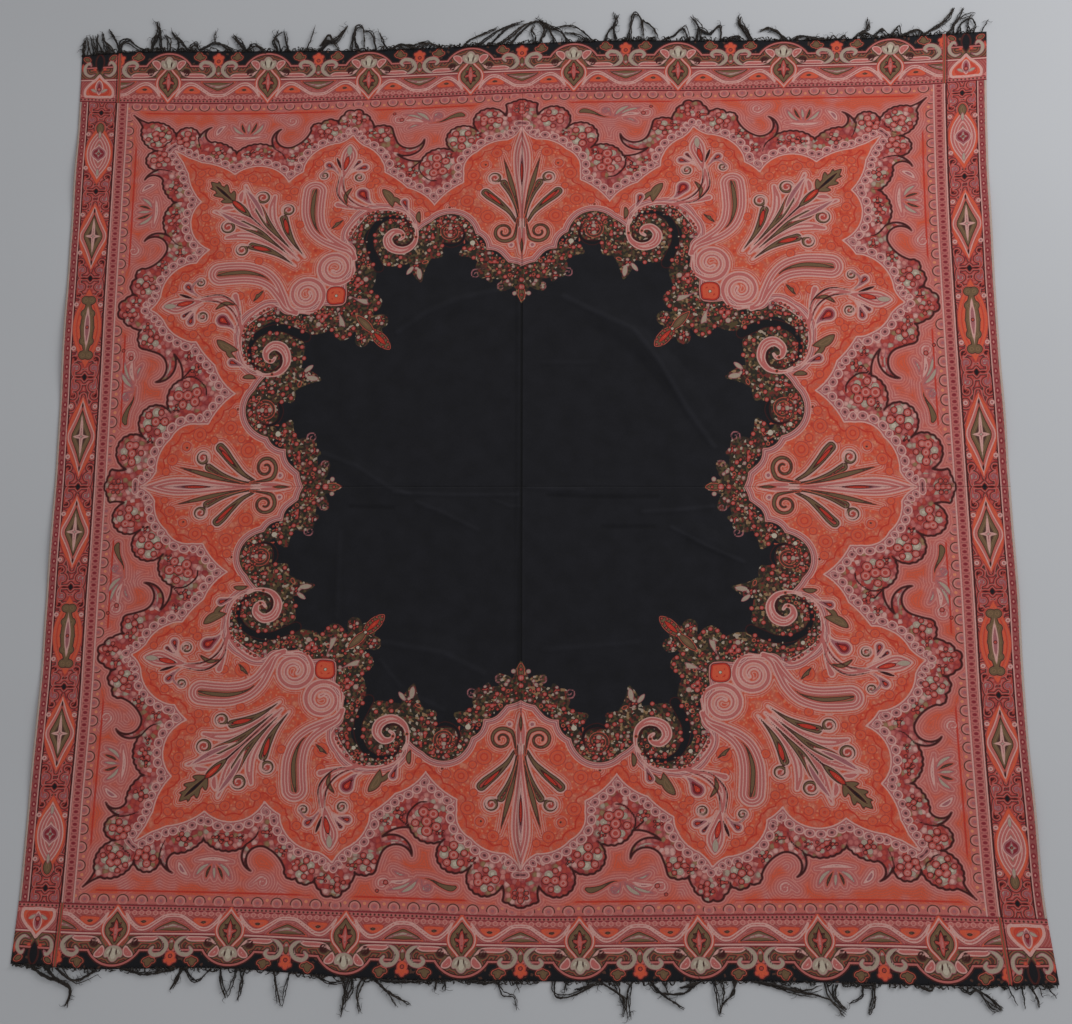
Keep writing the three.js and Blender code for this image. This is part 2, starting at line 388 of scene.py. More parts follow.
@dataclass(frozen=True)
class Leaf:
    """A leaf from its base to its tip, widest a little past its middle."""

    style: Style
    base: Point
    tip: Point
    width: float
    bend: float = 0.0

    def discs(self) -> np.ndarray:
        """Discs that fill the leaf."""
        base, tip = np.array(self.base, float), np.array(self.tip, float)
        side = np.array([base[1] - tip[1], tip[0] - base[0]]) * self.bend
        path = smooth_path([tuple(base), tuple((base + tip) / 2 + side), tuple(tip)])
        t = np.linspace(0, 1, len(path))
        return discs(path, self.width * np.sin(np.pi * t**1.15) ** 0.8 + 0.3)


@dataclass(frozen=True)
class Drop:
    """A teardrop: a thin stalk that widens to a round head."""

    style: Style
    base: Point
    head: Point
    radius: float
    bend: float = 0.0

    def discs(self) -> np.ndarray:
        """Discs that fill the teardrop."""
        base, head = np.array(self.base, float), np.array(self.head, float)
        side = np.array([base[1] - head[1], head[0] - base[0]]) * self.bend
        path = smooth_path([tuple(base), tuple((base + head) / 2 + side), tuple(head)])
        t = np.linspace(0, 1, len(path))
        return discs(path, 0.6 + (self.radius - 0.6) * t**1.6)


@dataclass(frozen=True)
class Horn:
    """A curved figure through points that each have a place across, a place along and a radius."""

    style: Style
    points: tuple[tuple[float, float, float], ...]

    def discs(self) -> np.ndarray:
        """Discs that fill the figure."""
        return smooth_path(self.points)


@dataclass(frozen=True)
class Curl:
    """A stalk that winds up into a spiral; the sign of its turns is the hand it winds to."""

    style: Style
    base: Point
    centre: Point
    radius: float
    half: float
    turns: float = 1.3

    def discs(self) -> np.ndarray:
        """Discs along the stalk and the spiral."""
        cx, cy = self.centre
        hand = math.copysign(1, self.turns)
        toward = math.atan2(self.base[1] - cy, self.base[0] - cx)
        start = toward + hand * math.radians(70)
        stops = max(6, round(abs(self.turns) * 10))
        t = np.arange(stops + 1) / stops
        angle = start + t * self.turns * 2 * math.pi
        reach = self.radius * (1 - 0.78 * t)
        spiral = np.column_stack([cx + reach * np.cos(angle), cy + reach * np.sin(angle)])
        path = smooth_path([self.base, *map(tuple, spiral)])
        share = np.linspace(0, 1, len(path))
        return discs(path, self.half * np.minimum(1, 0.35 + 2.4 * share) * (1 - 0.45 * share))


@dataclass(frozen=True)
class Lozenge:
    """A medallion, upright on the chart: round-sided, or a diamond if its point is 1 or more."""

    style: Style
    centre: Point
    half_width: float
    half_length: float
    point: float = 0.75

    def discs(self) -> np.ndarray:
        """Discs that fill the medallion."""
        t = np.linspace(-1, 1, 41)
        shape = 1 - np.abs(t) if self.point >= 1 else 0.5 + 0.5 * np.cos(np.pi * t)
        radii = self.half_width * shape ** self.point + 0.2
        reach = self.half_length - self.half_width * 0.1
        path = np.column_stack([np.full(41, self.centre[0]), self.centre[1] + t * reach])
        return discs(path, radii)


@dataclass(frozen=True)
class Bead:
    """A round spot."""

    style: Style
    place: Point
    radius: float

    def discs(self) -> np.ndarray:
        """The one disc of the spot."""
        return np.array([[*self.place, self.radius]])


Figure = Union[Leaf, Drop, Horn, Curl, Lozenge, Bead]


class Fold4(Enum):
    """How a figure is repeated on a quarter chart: rows of two-by-two turning matrices."""

    CENTRE = (((1, 0), (0, 1)), ((-1, 0), (0, 1)), ((0, 1), (1, 0)), ((0, 1), (-1, 0)))
    SIDE = (((1, 0), (0, 1)), ((1, 0), (0, -1)))
    ONCE = (((1, 0), (0, 1)),)


@dataclass(frozen=True)
class Outline:
    """A lobed outline from the middle of a side to the corner of the field.

    Each row has its place across, its place outward, the bulge of the arc to the next row as a
    share of the distance between them, positive outward, and the depth of that arc's scallops.
    """

    rows: tuple[tuple[float, float, float, float], ...]
    scallop: float = 11.0

    def path(self) -> np.ndarray:
        """Evenly stepped points of the outline."""
        steps = []
        for (x0, y0, bulge, depth), (x1, y1, _, _) in zip(self.rows, self.rows[1:]):
            chord = math.hypot(x1 - x0, y1 - y0)
            turn = 2 * math.atan(2 * bulge) if abs(bulge) > 0.001 else 0.001
            radius = 0.5 / math.sin(turn)
            count = max(2, math.ceil(chord * radius * 2 * turn / 1.2))
            t = np.arange(count) / count
            angle = turn * (2 * t - 1)
            along = 0.5 + radius * np.sin(angle)
            bumps = max(1, round(chord * radius * 2 * turn / self.scallop))
            lobes = depth / chord * np.abs(np.sin(np.pi * bumps * t))
            out = radius * (np.cos(angle) - math.cos(turn)) + lobes
            steps.append(np.column_stack([
                x0 + (x1 - x0) * along - (y1 - y0) * out,
                y0 + (y1 - y0) * along + (x1 - x0) * out,
            ]))
        return np.vstack([*steps, [self.rows[-1][:2]]])

    def along(self) -> tuple[np.ndarray, np.ndarray, np.ndarray]:
        """Points, distances travelled and unit directions of the outline."""
        path = self.path()
        ahead = np.gradient(path, axis=0)
        ahead /= np.hypot(*ahead.T)[:, None]
        run = np.concatenate([[0], np.cumsum(np.hypot(*np.diff(path, axis=0).T))])
        return path, run, ahead

    def beads(self, offset: float, pitch: float, phase: float = 0.5) -> np.ndarray:
        """Places in a row beside the outline, on its own side of the diagonal.

        Args:
            offset: distance inward from the outline.
            pitch: distance between places.
            phase: share of a pitch before the first one.

        Returns:
            The places, one a row.
        """
        path, run, ahead = self.along()
        count = max(1, round(run[-1] / pitch))
        at = (np.arange(count) + phase) * run[-1] / count
        index = np.clip(np.searchsorted(run, at), 0, len(run) - 1)
        inward = np.column_stack([ahead[index, 1], -ahead[index, 0]])
        places = path[index] + offset * inward
        return places[places[:, 0] <= places[:, 1]]


CLOUD = Outline((
    (0, 700, 0.0, 1.6), (28, 689, -0.08, 0), (28, 665, 0.58, 2.2), (76, 634, 0.57, 2.2),
    (119, 593, 0.24, 2.0), (173, 576, -0.12, 0), (216, 592, 0.3, 0), (169, 622, -0.37, 0),
    (218, 622, -0.02, 0), (225, 648, 0.16, 2.0), (258, 651, 0.1, 0.6), (265, 670, 0.2, 1.2),
    (277, 682, 0.4, 0), (293, 690, 0.32, 0), (310, 682, 0.16, 1.2), (319, 662, 0.3, 2.0),
    (350, 664, 0.3, 1.4), (368, 650, -0.11, 0), (401, 614, -0.28, 0), (429, 640, -0.1, 0),
    (421, 654, 0.12, 0), (436, 636, 0.1, 0), (432, 613, 0.2, 2.0), (499, 602, 0.13, 2.0),
    (544, 627, -0.32, 0), (545, 660, 0.12, 0), (566, 638, 0.46, 2.0), (608, 640, 0.2, 2.0),
    (659, 669, -0.05, 0), (686, 686, 0, 0),
))

LACE = Outline((
    (0, 638, -0.1, 0), (25, 612, 0.12, 0), (76, 590, 0.17, 0), (99, 545, 0.04, 0),
    (99, 527, 0.07, 0), (150, 482, 0.09, 0), (198, 520, 0.04, 0), (238, 554, 0.08, 0),
    (243, 578, 0.1, 0), (275, 612, -0.06, 0), (294, 636, -0.08, 0), (318, 619, 0.15, 0),
    (376, 575, 0.06, 0), (378, 560, 0.06, 0), (405, 537, 0.27, 0), (500, 556, 0.08, 0),
    (560, 582, 0.02, 0), (583, 592, 0, 0), (608, 608, 0, 0),
))

JEWEL = Outline((
    (0, 361, 0.06, 0), (24, 369, 0.02, 0), (34, 382, 0.16, 0), (62, 392, 0.2, 0),
    (80, 424, 0.06, 0), (90, 447, 0.24, 0), (154, 450, 0.06, 0), (181, 427, -0.08, 0),
    (186, 452, 0.18, 0), (235, 477, 0.2, 0), (288, 450, 0.16, 0), (298, 416, -0.2, 0),
    (283, 392, 0.06, 0), (281, 360, 0.14, 0), (298, 335, -0.04, 0), (298, 304, 0, 0), (301, 301, 0, 0),
))


def plume(points: tuple[tuple[float, float, float], ...], head: Point, radius: float,
          turns: float) -> tuple[Figure, ...]:
    """A curled feather: a body that widens to a round head, and a pale coil on the head.

    Args:
        points: the body's places across and along and its half widths, from the base up.
        head: middle of the head.
        radius: the head's radius.
        turns: turns of the coil; the sign is its hand.

    Returns:
        The figures.
    """
    return (
        Horn(PLUME, points),
        Bead(PLUME, head, radius),
        Curl(DROP, points[-1][:2], head, radius * 0.76, 2.2, turns),
    )


def drop(base: Point, head: Point, radius: float, bend: float = 0.0) -> tuple[Figure, ...]:
    """A pale-edged teardrop with a dark red heart.

    Args:
        base: where its stalk starts.
        head: middle of its round head.
        radius: the head's radius.
        bend: how far the stalk bows, as a share of its length.

    Returns:
        The figures.
    """
    heart = tuple(0.55 * h + 0.45 * b for b, h in zip(base, head))
    return (
        Drop(DROP, base, head, radius, bend),
        Drop(RED, heart, head, radius * 0.42, bend),
    )


def bloom(centre: Point, radius: float, petals: int, turn: float = 0.0) -> tuple[Figure, ...]:
    """A cluster of round petals about a red heart.

    Args:
        centre: its middle.
        radius: its own radius, petals included.
        petals: how many petals it has.
        turn: angle of the first petal, in degrees.

    Returns:
        The figures.
    """
    made: list[Figure] = [Bead(BERRY, centre, radius * 0.34)]
    for k in range(petals):
        angle = math.radians(turn + 360 * k / petals + 9 * math.sin(2.4 * k))
        size = radius * (0.3 + 0.06 * math.sin(1.9 * k + turn))
        reach = radius - size - 1
        place = (centre[0] + reach * math.cos(angle), centre[1] + reach * math.sin(angle))
        made.append(Bead(SAGE if k % 3 == 1 else BERRY, place, size))
    return tuple(made)


AXIS_PALMETTE: tuple[Figure, ...] = (
    Horn(HORN, ((0, 440, 2), (0, 500, 8), (0, 555, 14), (0, 590, 13), (0, 632, 2))),
    Leaf(DROP, (0, 500), (0, 592), 5),
    Leaf(HORN, (0, 580), (0, 626), 5),
    Leaf(RED, (0, 516), (0, 570), 2.6),
    Horn(LEAF, ((3, 452, 1.5), (10, 490, 3.4), (20, 530, 5), (33, 582, 1.2))),
    *plume(((5, 436, 2.5), (8, 470, 5), (17, 500, 7.5), (31, 524, 8)), (46, 534), 12.5, 1.2),
    Horn(PLUME, ((10, 446, 4), (21, 465, 5.5), (38, 483, 8), (54, 497, 9.5), (62, 505, 9.5))),
    Leaf(RED, (28, 474), (62, 508), 3),
    Curl(LEAF, (7, 452), (30, 427), 19.5, 5, 1.5),
    Leaf(HORN, (3, 384), (4, 446), 4.4),
    Bead(DROP, (18, 402), 5),
    Leaf(LEAF, (0, 382), (0, 416), 3.4),
    Bead(GLOW, (83, 541), 12), Bead(GLOW, (58, 457), 13), Bead(GLOW, (94, 489), 12),
    Bead(GLOW, (43, 586), 10), Bead(GLOW, (64, 563), 8), Bead(GLOW, (118, 486), 8),
    Bead(GLOW, (74, 516), 7), Bead(GLOW, (24, 596), 7), Bead(GLOW, (76, 470), 7),
    Bead(LEAF, (62, 562), 3), Bead(LEAF, (124, 478), 3),
)

LOBE_PALMETTE: tuple[Figure, ...] = (
    Horn(HORN, ((309, 545, 2), (305, 568, 9), (300, 590, 13.5), (299, 604, 9), (298, 615, 2))),
    Leaf(RED, (308, 560), (301, 592), 4.4),
    Leaf(SAGE, (300, 590), (299, 614), 5),
    *drop((303, 545), (282, 578), 5.6, -0.06),
    *drop((300, 552), (272, 566), 8, -0.1),
    *drop((316, 548), (335, 573), 8, 0.1),
    Leaf(INK, (312, 560), (322, 590), 2.2),
    Horn(SAGE, ((318, 556, 1.4), (328, 565, 1.6), (340, 563, 1.8), (349, 552, 1.6))),
    Bead(PLUME, (281, 545), 10), Curl(DROP, (288, 551), (281, 545), 7.4, 1.9, 1.1),
    Bead(PLUME, (343, 551), 9), Curl(DROP, (336, 557), (343, 551), 6.6, 1.8, -1.1),
    Horn(HORN, ((311, 556, 2), (313, 530, 6), (309, 508, 9), (292, 490, 8), (262, 479, 4), (236, 479, 2))),
    Horn(INK, ((309, 552, 1), (308, 524, 1.4), (300, 504, 1.5), (284, 489, 1.2), (262, 482, 0.8))),
    Horn(INK, ((316, 548, 1), (320, 520, 1.4), (314, 502, 1.6), (296, 484, 1.2), (276, 479, 0.8))),
    Bead(GLOW, (262, 528), 8), Bead(GLOW, (250, 560), 8), Bead(GLOW, (330, 598), 8),
    Bead(GLOW, (352, 578), 8), Bead(GLOW, (278, 600), 7), Bead(GLOW, (318, 482), 8),
)

ACANTHUS: tuple[Figure, ...] = (
    *drop((246, 484), (275, 511), 12.5, -0.12),
    *drop((184, 458), (202, 492), 8, -0.08),
    Drop(HORN, (266, 478), (318, 490), 6, -0.05),
    Leaf(LEAF, (222, 480), (241, 520), 8.5, 0.1),
    Leaf(LEAF, (206, 482), (226, 504), 5, 0.1),
    Leaf(LEAF, (174, 446), (176, 474), 5, -0.1),
    Leaf(LEAF, (300, 484), (292, 526), 4.4, -0.2),
    Horn(HORN, ((183, 440, 2), (198, 466, 3), (232, 479, 3.4), (264, 473, 5), (286, 452, 7),
                      (298, 430, 6.5), (296, 416, 3.4))),
    Curl(SAGE, (299, 424), (291, 418), 4.6, 2.4, -0.8),
    Bead(GLOW, (318, 452), 13), Bead(GLOW, (252, 536), 7), Bead(GLOW, (214, 514), 6),
    Bead(GLOW, (176, 492), 7), Bead(GLOW, (162, 466), 6),
    Bead(LEAF, (318, 452), 4.4), Leaf(LEAF, (304, 462), (330, 440), 3.6),
)

BIG_HORN: tuple[Figure, ...] = (
    Curl(HORN, (292, 400), (319, 367), 32, 5.6, 2.3),
    Horn(HORN, ((286, 384, 5), (296, 400, 8), (316, 411, 10.5), (338, 425, 13.5), (353, 444, 17),
                      (360, 470, 19.5), (360, 498, 20.5), (358, 518, 20.5))),
    Horn(LEAF, ((332, 420, 1), (352, 440, 2.6), (361, 470, 4.6), (360, 500, 4.8), (356, 522, 3))),
)

CORNER_FAN: tuple[Figure, ...] = (
    Horn(HORN, ((384, 384, 3), (430, 430, 6), (468, 468, 8), (505, 505, 5))),
    Horn(HORN, ((386, 402, 2), (408, 424, 5), (428, 458, 7), (432, 486, 7), (428, 510, 4))),
    Horn(HORN, ((404, 408, 2), (440, 446, 4), (464, 480, 6.5), (474, 512, 6), (480, 534, 3))),
    Leaf(DROP, (440, 452), (484, 532), 5, 0.04),
    *plume(((372, 388, 2), (392, 416, 5), (404, 440, 8), (411, 464, 9)), (404, 482), 12.5, 1.25),
    *plume(((388, 394, 2), (416, 426, 4.5), (438, 454, 8), (454, 484, 9.5)), (449, 508), 14, 1.25),
    Leaf(LEAF, (444, 462), (458, 500), 4, 0.04),
    Leaf(RED, (402, 430), (410, 466), 4),
    Leaf(LEAF, (492, 492), (543, 543), 10), Leaf(INK, (498, 498), (536, 536), 2.6),
    Leaf(LEAF, (498, 500), (500, 524), 5.5, -0.1), Leaf(LEAF, (508, 512), (514, 538), 5.5, -0.1),
    Leaf(LEAF, (520, 524), (528, 544), 4, -0.1), Leaf(HORN, (486, 494), (484, 524), 5, -0.1),
    Leaf(PLUME, (464, 464), (508, 508), 8.6),
    Leaf(RED, (476, 476), (504, 504), 4.6),
    Horn(INK, ((398, 398, 0.8), (440, 440, 1.4), (470, 470, 1.8))),
    Bead(GLOW, (420, 530), 9), Bead(GLOW, (444, 546), 8), Bead(GLOW, (468, 548), 9),
    Bead(GLOW, (490, 552), 8), Bead(GLOW, (540, 562), 8), Bead(GLOW, (394, 520), 8),
    Bead(GLOW, (404, 506), 6), Bead(GLOW, (558, 560), 7), Bead(GLOW, (382, 452), 8),
)

JEWELS: tuple[Figure, ...] = (
    Horn(HORN, ((182, 446, 2.4), (180, 426, 3.4), (186, 407, 5), (204, 397, 7), (224, 404, 8.5),
                      (230, 420, 8), (220, 433, 6.5), (207, 432, 4.4), (203, 423, 3.4), (209, 418, 2.8))),
    Horn(INK, ((191, 440, 2), (202, 457, 3.4), (224, 462, 4.4), (246, 452, 6), (258, 430, 7),
                     (260, 406, 7.5), (252, 384, 8.5), (244, 366, 9))),
    Horn(INK, ((188, 436, 1.4), (188, 420, 1.6), (196, 408, 2), (212, 408, 2.4), (219, 416, 2))),
    Curl(LEAF, (98, 408), (121, 430), 19, 4, -1.7),
    Horn(INK, ((102, 440, 1.6), (98, 424, 2.6), (104, 410, 3.4), (120, 404, 4.4), (134, 408, 3))),
    *bloom((121, 430), 12, 5),
    *bloom((273, 339), 15, 4, 45.0),
    Horn(SAGE, ((288, 313, 0.8), (278, 308, 2.4), (268, 305, 4.4), (261, 300, 1.2))),
    Horn(SAGE, ((270, 306, 3), (262, 309, 1.2))),
    *bloom((240, 271), 10, 6),
    Leaf(LEAF, (258, 258), (222, 222), 10),
    Leaf(RED, (252, 252), (228, 228), 4),
    *(Bead(BERRY, place, 3) for place in (
        (225, 225), (226, 234), (232, 241), (239, 248), (248, 254))),
    Leaf(LEAF, (282, 282), (250, 250), 7),
    *bloom((178, 368), 9, 5), Leaf(SAGE, (176, 366), (173, 342), 4.4),
    Leaf(LEAF, (170, 372), (160, 376), 3), Leaf(SAGE, (184, 368), (196, 352), 3.6),
    *bloom((56, 345), 8.5, 5), Curl(SAGE, (62, 360), (78, 350), 8.5, 1.5, -1.2),
    Leaf(LEAF, (0, 330), (0, 300), 6), Bead(BERRY, (0, 325), 6), Bead(BERRY, (0, 338), 5),
    Bead(BERRY, (0, 311), 3.4), Bead(SAGE, (24, 336), 3.4), Bead(SAGE, (20, 330), 3),
    Curl(SAGE, (22, 336), (35, 326), 7, 1.3, -1.2), Bead(SAGE, (12, 314), 4),
    Horn(RED, ((307, 307, 6), (325, 307, 6), (325, 325, 6), (307, 325, 6), (307, 307, 6))),
    Bead(RED, (316, 316), 11), Bead(PEARL, (316, 316), 3),
    Bead(PEARL, (84, 408), 5), Bead(PEARL, (97, 441), 4), Bead(PEARL, (266, 447), 4),
    Bead(PEARL, (252, 252), 3), Bead(PEARL, (264, 278), 3.4), Bead(PEARL, (205, 462), 3),
    *(Bead(BERRY, place, 4.4) for place in (
        (256, 322), (246, 313), (243, 302), (248, 291), (258, 285), (142, 388), (158, 396), (136, 404),
        (148, 402), (208, 368), (227, 372), (232, 386), (207, 384), (254, 372), (252, 428), (251, 416),
        (240, 438), (204, 448), (226, 452), (68, 376), (82, 380), (88, 396), (98, 398), (38, 352),
        (28, 344), (46, 372), (152, 420), (160, 436), (140, 452), (118, 456), (276, 440), (274, 416))),
)

SPRAYS: tuple[Figure, ...] = (
    Horn(LEAF, ((160, 656, 1), (140, 659, 2.4), (122, 668, 4.4), (108, 672, 6), (101, 670, 4))),
    Curl(SAGE, (154, 658), (144, 671), 7, 2.2, 1.3),
    Leaf(SAGE, (158, 658), (186, 682), 3.4, 0.1),
    Leaf(SAGE, (164, 660), (206, 678), 2.6, 0.08),
    Leaf(DROP, (168, 658), (204, 664), 3, 0.1),
    Leaf(SAGE, (176, 654), (198, 646), 2, 0.1),
    Bead(BERRY, (209, 666), 4.4), Bead(BERRY, (222, 680), 3.4),
    Leaf(SAGE, (476, 640), (452, 668), 3, 0.1),
    Leaf(LEAF, (478, 642), (464, 672), 3, 0.06),
    Leaf(SAGE, (480, 642), (478, 670), 2.6),
    Leaf(LEAF, (482, 642), (492, 670), 3, -0.06),
    Leaf(SAGE, (484, 642), (508, 664), 3, -0.1),
    Leaf(DROP, (450, 640), (508, 638), 2.4, -0.06),
    Curl(DROP, (196, 676), (214, 668), 9, 1.6, 1.2), Curl(DROP, (420, 676), (402, 672), 9, 1.6, -1.2),
    Leaf(DROP, (520, 664), (536, 642), 4, 0.1),
)

SPURS: tuple[Figure, ...] = (
    Horn(INK, ((174, 577, 1.4), (178, 562, 1.6), (173, 548, 1.6), (160, 535, 1.6), (147, 533, 1.4))),
    Horn(INK, ((173, 577, 1.2), (184, 567, 1.5), (190, 560, 1.5), (178, 552, 1))),
    Horn(INK, ((432, 612, 1.6), (420, 602, 1.6), (414, 594, 1.4), (410, 580, 0.8))),
    Horn(INK, ((568, 638, 1.6), (566, 622, 1.5), (560, 606, 1))),
    Horn(INK, ((499, 602, 1.4), (500, 592, 0.8))),
    Horn(INK, ((622, 628, 1), (628, 618, 1.4), (638, 614, 1.2))),
    Horn(SAGE, ((212, 601, 1), (196, 598, 2.2), (182, 603, 1.8), (174, 612, 0.8))),
    Horn(SAGE, ((434, 618, 1), (436, 630, 1.8), (430, 646, 0.8))),
    Horn(SAGE, ((560, 630, 1), (562, 640, 2.2), (554, 654, 0.8))),
)

BLOOMS: tuple[Figure, ...] = (
    *bloom((0, 680), 15, 6, 90.0), *bloom((53, 656), 22, 7, 20.0), *bloom((104, 618), 24, 8, 50.0),
    *bloom((147, 565), 26, 8, 10.0), *bloom((240, 634), 18, 6), *bloom((284, 672), 15, 6, 90.0),
    *bloom((338, 647), 20, 7), *bloom((462, 603), 14, 6, 30.0), *bloom((530, 604), 15, 6),
    *bloom((590, 634), 20, 7, 10.0), *bloom((634, 644), 20, 7), *bloom((478, 600), 10, 5),
    *bloom((75, 626), 9, 5), *bloom((125, 584), 9, 5), *bloom((190, 552), 12, 6),
    *bloom((398, 590), 11, 5), *bloom((212, 566), 10, 5), *bloom((374, 620), 12, 6),
    *bloom((262, 640), 11, 5), *bloom((308, 662), 11, 5), *bloom((440, 600), 9, 5),
)

CENTRE_FIGURES = (*AXIS_PALMETTE, *LOBE_PALMETTE, *ACANTHUS, *BIG_HORN, *CORNER_FAN, *JEWELS,
                  *SPRAYS, *SPURS, *BLOOMS)

SIDE_MIDDLE = 745.5
CROSS_PLACES = (80, 430)
SEPARATORS = (0, 177, 350, 520, 690)


def side_figures() -> list[Figure]:
    """Figures of the side border: crosses, long olive medallions, stars and their separators."""
    x = SIDE_MIDDLE
    made: list[Figure] = []
    for y in CROSS_PLACES:
        made += [
            Lozenge(GLOW, (x, y), 25, 76),
            Lozenge(HORN, (x, y), 23, 68, 1.3),
            Lozenge(LEAF, (x, y), 17.5, 54, 1.3),
            Leaf(DROP, (x, y - 36), (x, y + 36), 2.8), Leaf(DROP, (x - 14, y), (x + 14, y), 2.8),
            Leaf(INK, (x, y + 44), (x, y + 56), 1.5), Leaf(INK, (x, y - 44), (x, y - 56), 1.5),
            Bead(SAGE, (x, y), 3),
        ]
    made += [Lozenge(GLOW, (x, 262), 25, 80), Lozenge(LEAF, (x, 262), 13, 66)]
    for side in (-1, 1):
        made += [Bead(LEAF, (x + side * 5, 262 + step * 24), 9) for step in (-2, -1, 0, 1, 2)]
    made += [
        Lozenge(DROP, (x, 262), 5, 44),
        Bead(BERRY, (x, 262), 3.4),
        Lozenge(GLOW, (x, 600), 25, 76),
        Lozenge(HORN, (x, 600), 21, 60),
        Lozenge(DROP, (x, 600), 14, 24, 1.4),
        Leaf(SAGE, (x, 588), (x, 612), 2.4), Leaf(SAGE, (x - 8, 600), (x + 8, 600), 2.4),
        Bead(BERRY, (x, 600), 2.8),
        *(Leaf(SAGE, (x, 600 + side * 30), (x, 600 + side * 50), 3) for side in (-1, 1)),
        Leaf(LEAF, (x, 640), (x, 668), 8),
    ]
    for y in SEPARATORS:
        made += [Lozenge(INK, (x, y), 3.6, 7), Bead(SAGE, (x, y), 1.6)]
        for side in (-1, 1):
            made += [Leaf(INK, (x + side * 3, y), (x + side * 17, y), 1.4),
                     Bead(DROP, (x + side * 21, y + 48), 4), Bead(DROP, (x + side * 21, y - 48), 4)]
            for up in (-1, 1):
                made.append(Curl(SAGE, (x + side * 19, y + up * 4), (x + side * 15, y + up * 15),
                                 5, 2, side * up * 1.1))
                made.append(Curl(INK, (x + side * 22, y + up * 22), (x + side * 18, y + up * 30),
                                 4, 1.4, side * up * 1.1))
    return made


DUSK = (
    ((0, 354, 14), (0, 330, 13), (0, 312, 8), (0, 299, 2)),
    ((14, 354, 16), (40, 360, 20), (58, 364, 19), (66, 352, 10)),
    ((24, 332, 11), (34, 326, 8)),
    ((54, 350, 9), (53, 338, 4)),
    ((60, 382, 14), (84, 394, 14), (102, 388, 5)),
    ((84, 420, 12), (98, 440, 16), (121, 452, 14), (150, 440, 16), (168, 420, 16)),
    ((112, 430, 20), (128, 430, 20)),
    ((152, 412, 20), (150, 396, 15), (140, 388, 6)),
    ((164, 400, 18), (176, 372, 15), (175, 352, 8), (172, 339, 2)),
    ((198, 386, 15), (226, 382, 15)),
    ((176, 432, 18), (190, 462, 16), (235, 470, 16), (276, 452, 18), (290, 420, 18), (278, 390, 16)),
    ((206, 424, 42), (220, 424, 42)),
    ((262, 398, 14), (262, 374, 14), (268, 346, 19), (274, 330, 17)),
    ((292, 322, 20), (262, 303, 20), (245, 304, 8)),
    ((290, 290, 26), (262, 262, 19), (240, 240, 9), (223, 223, 2)),
    ((238, 270, 12), (250, 268, 12)),
)


class Chart:
    """Signed distances to every figure, in millimetres, on a regular grid of the flat pattern."""

    REACH = 34.0

    def __init__(self, across: np.ndarray, along: np.ndarray) -> None:
        """Lay out an empty chart.

        Args:
            across: evenly spaced places of the columns.
            along: evenly spaced places of the rows.
        """
        self.across = across
        self.along = along
        self.layers: dict[str, np.ndarray] = {}
        for style in Style:
            self.layers[style.value] = np.full((len(along), len(across)), -self.REACH)

    def stamp(self, layer: str, rows: np.ndarray, fold: Fold4) -> None:
        """Add discs to a layer, which keeps the greatest depth inside any disc.

        Args:
            layer: name of the layer.
            rows: discs as rows of place across, place along and radius.
            fold: how they are repeated.
        """
        values = self.layers[layer]
        step_x = self.across[1] - self.across[0]
        step_y = self.along[1] - self.along[0]
        for turn in fold.value:
            places = rows[:, :2] @ np.array(turn, float).T
            reach = rows[:, 2] + self.REACH
            c0 = np.clip(((places[:, 0] - reach - self.across[0]) / step_x).astype(int), 0, None)
            c1 = np.clip(((places[:, 0] + reach - self.across[0]) / step_x).astype(int) + 2, 0, None)
            r0 = np.clip(((places[:, 1] - reach - self.along[0]) / step_y).astype(int), 0, None)
            r1 = np.clip(((places[:, 1] + reach - self.along[0]) / step_y).astype(int) + 2, 0, None)
            for i, (x, y) in enumerate(places):
                part = values[r0[i]:r1[i], c0[i]:c1[i]]
                if not part.size:
                    continue
                dx = self.across[c0[i]:c1[i]] - x
                dy = self.along[r0[i]:r1[i]] - y
                depth = rows[i, 2] - np.sqrt(dx[None, :] ** 2 + dy[:, None] ** 2)
                np.maximum(part, depth, out=part)

    def draw(self, figures: Iterable[Figure], fold: Fold4) -> None:
        """Stamp figures on the layers of their styles.

        Args:
            figures: what is drawn.
            fold: how each is repeated.
        """
        for figure in figures:
            self.stamp(figure.style.value, figure.discs(), fold)

    def outline(self, name: str, shape: Outline) -> None:
        """Add the distance inside a lobed outline, and the distance along it.

        Args:
            name: layer of the distance; the run's layer adds _run to it.
            shape: the outline.
        """
        path, run, ahead = shape.along()
        loop = np.vstack([path, path[::-1, ::-1], [[0, 0]]])
        inside = np.empty((len(self.along), len(self.across)))
        travelled = np.empty_like(inside)
        for row, v in enumerate(self.along):
            b, a = np.minimum(self.across, v), np.maximum(self.across, v)
            gap = (b[:, None] - path[:, 0]) ** 2 + (a[:, None] - path[:, 1]) ** 2
            near = gap.argmin(1)
            local = np.column_stack([b, a]) - path[near]
            travelled[row] = run[near] + (local * ahead[near]).sum(1)
            distance = np.sqrt(gap[np.arange(len(b)), near])
            inside[row] = np.where(within(loop, self.across, v), distance, -distance)
        self.layers[name] = inside
        self.layers[name + "_run"] = travelled / run[-1] * round(run[-1] / LACE_PITCH)

    def echo(self) -> None:
        """Add the distance to the nearest large figure, which the ground's lines follow."""
        nearest = np.full(self.layers[HORN.value].shape, self.REACH)
        for style in Style:
            if style not in (GLOW, BERRY, PEARL):
                nearest = np.minimum(nearest, -self.layers[style.value])
        self.layers["near"] = np.maximum(nearest, -2)


LACE_PITCH = 14.5


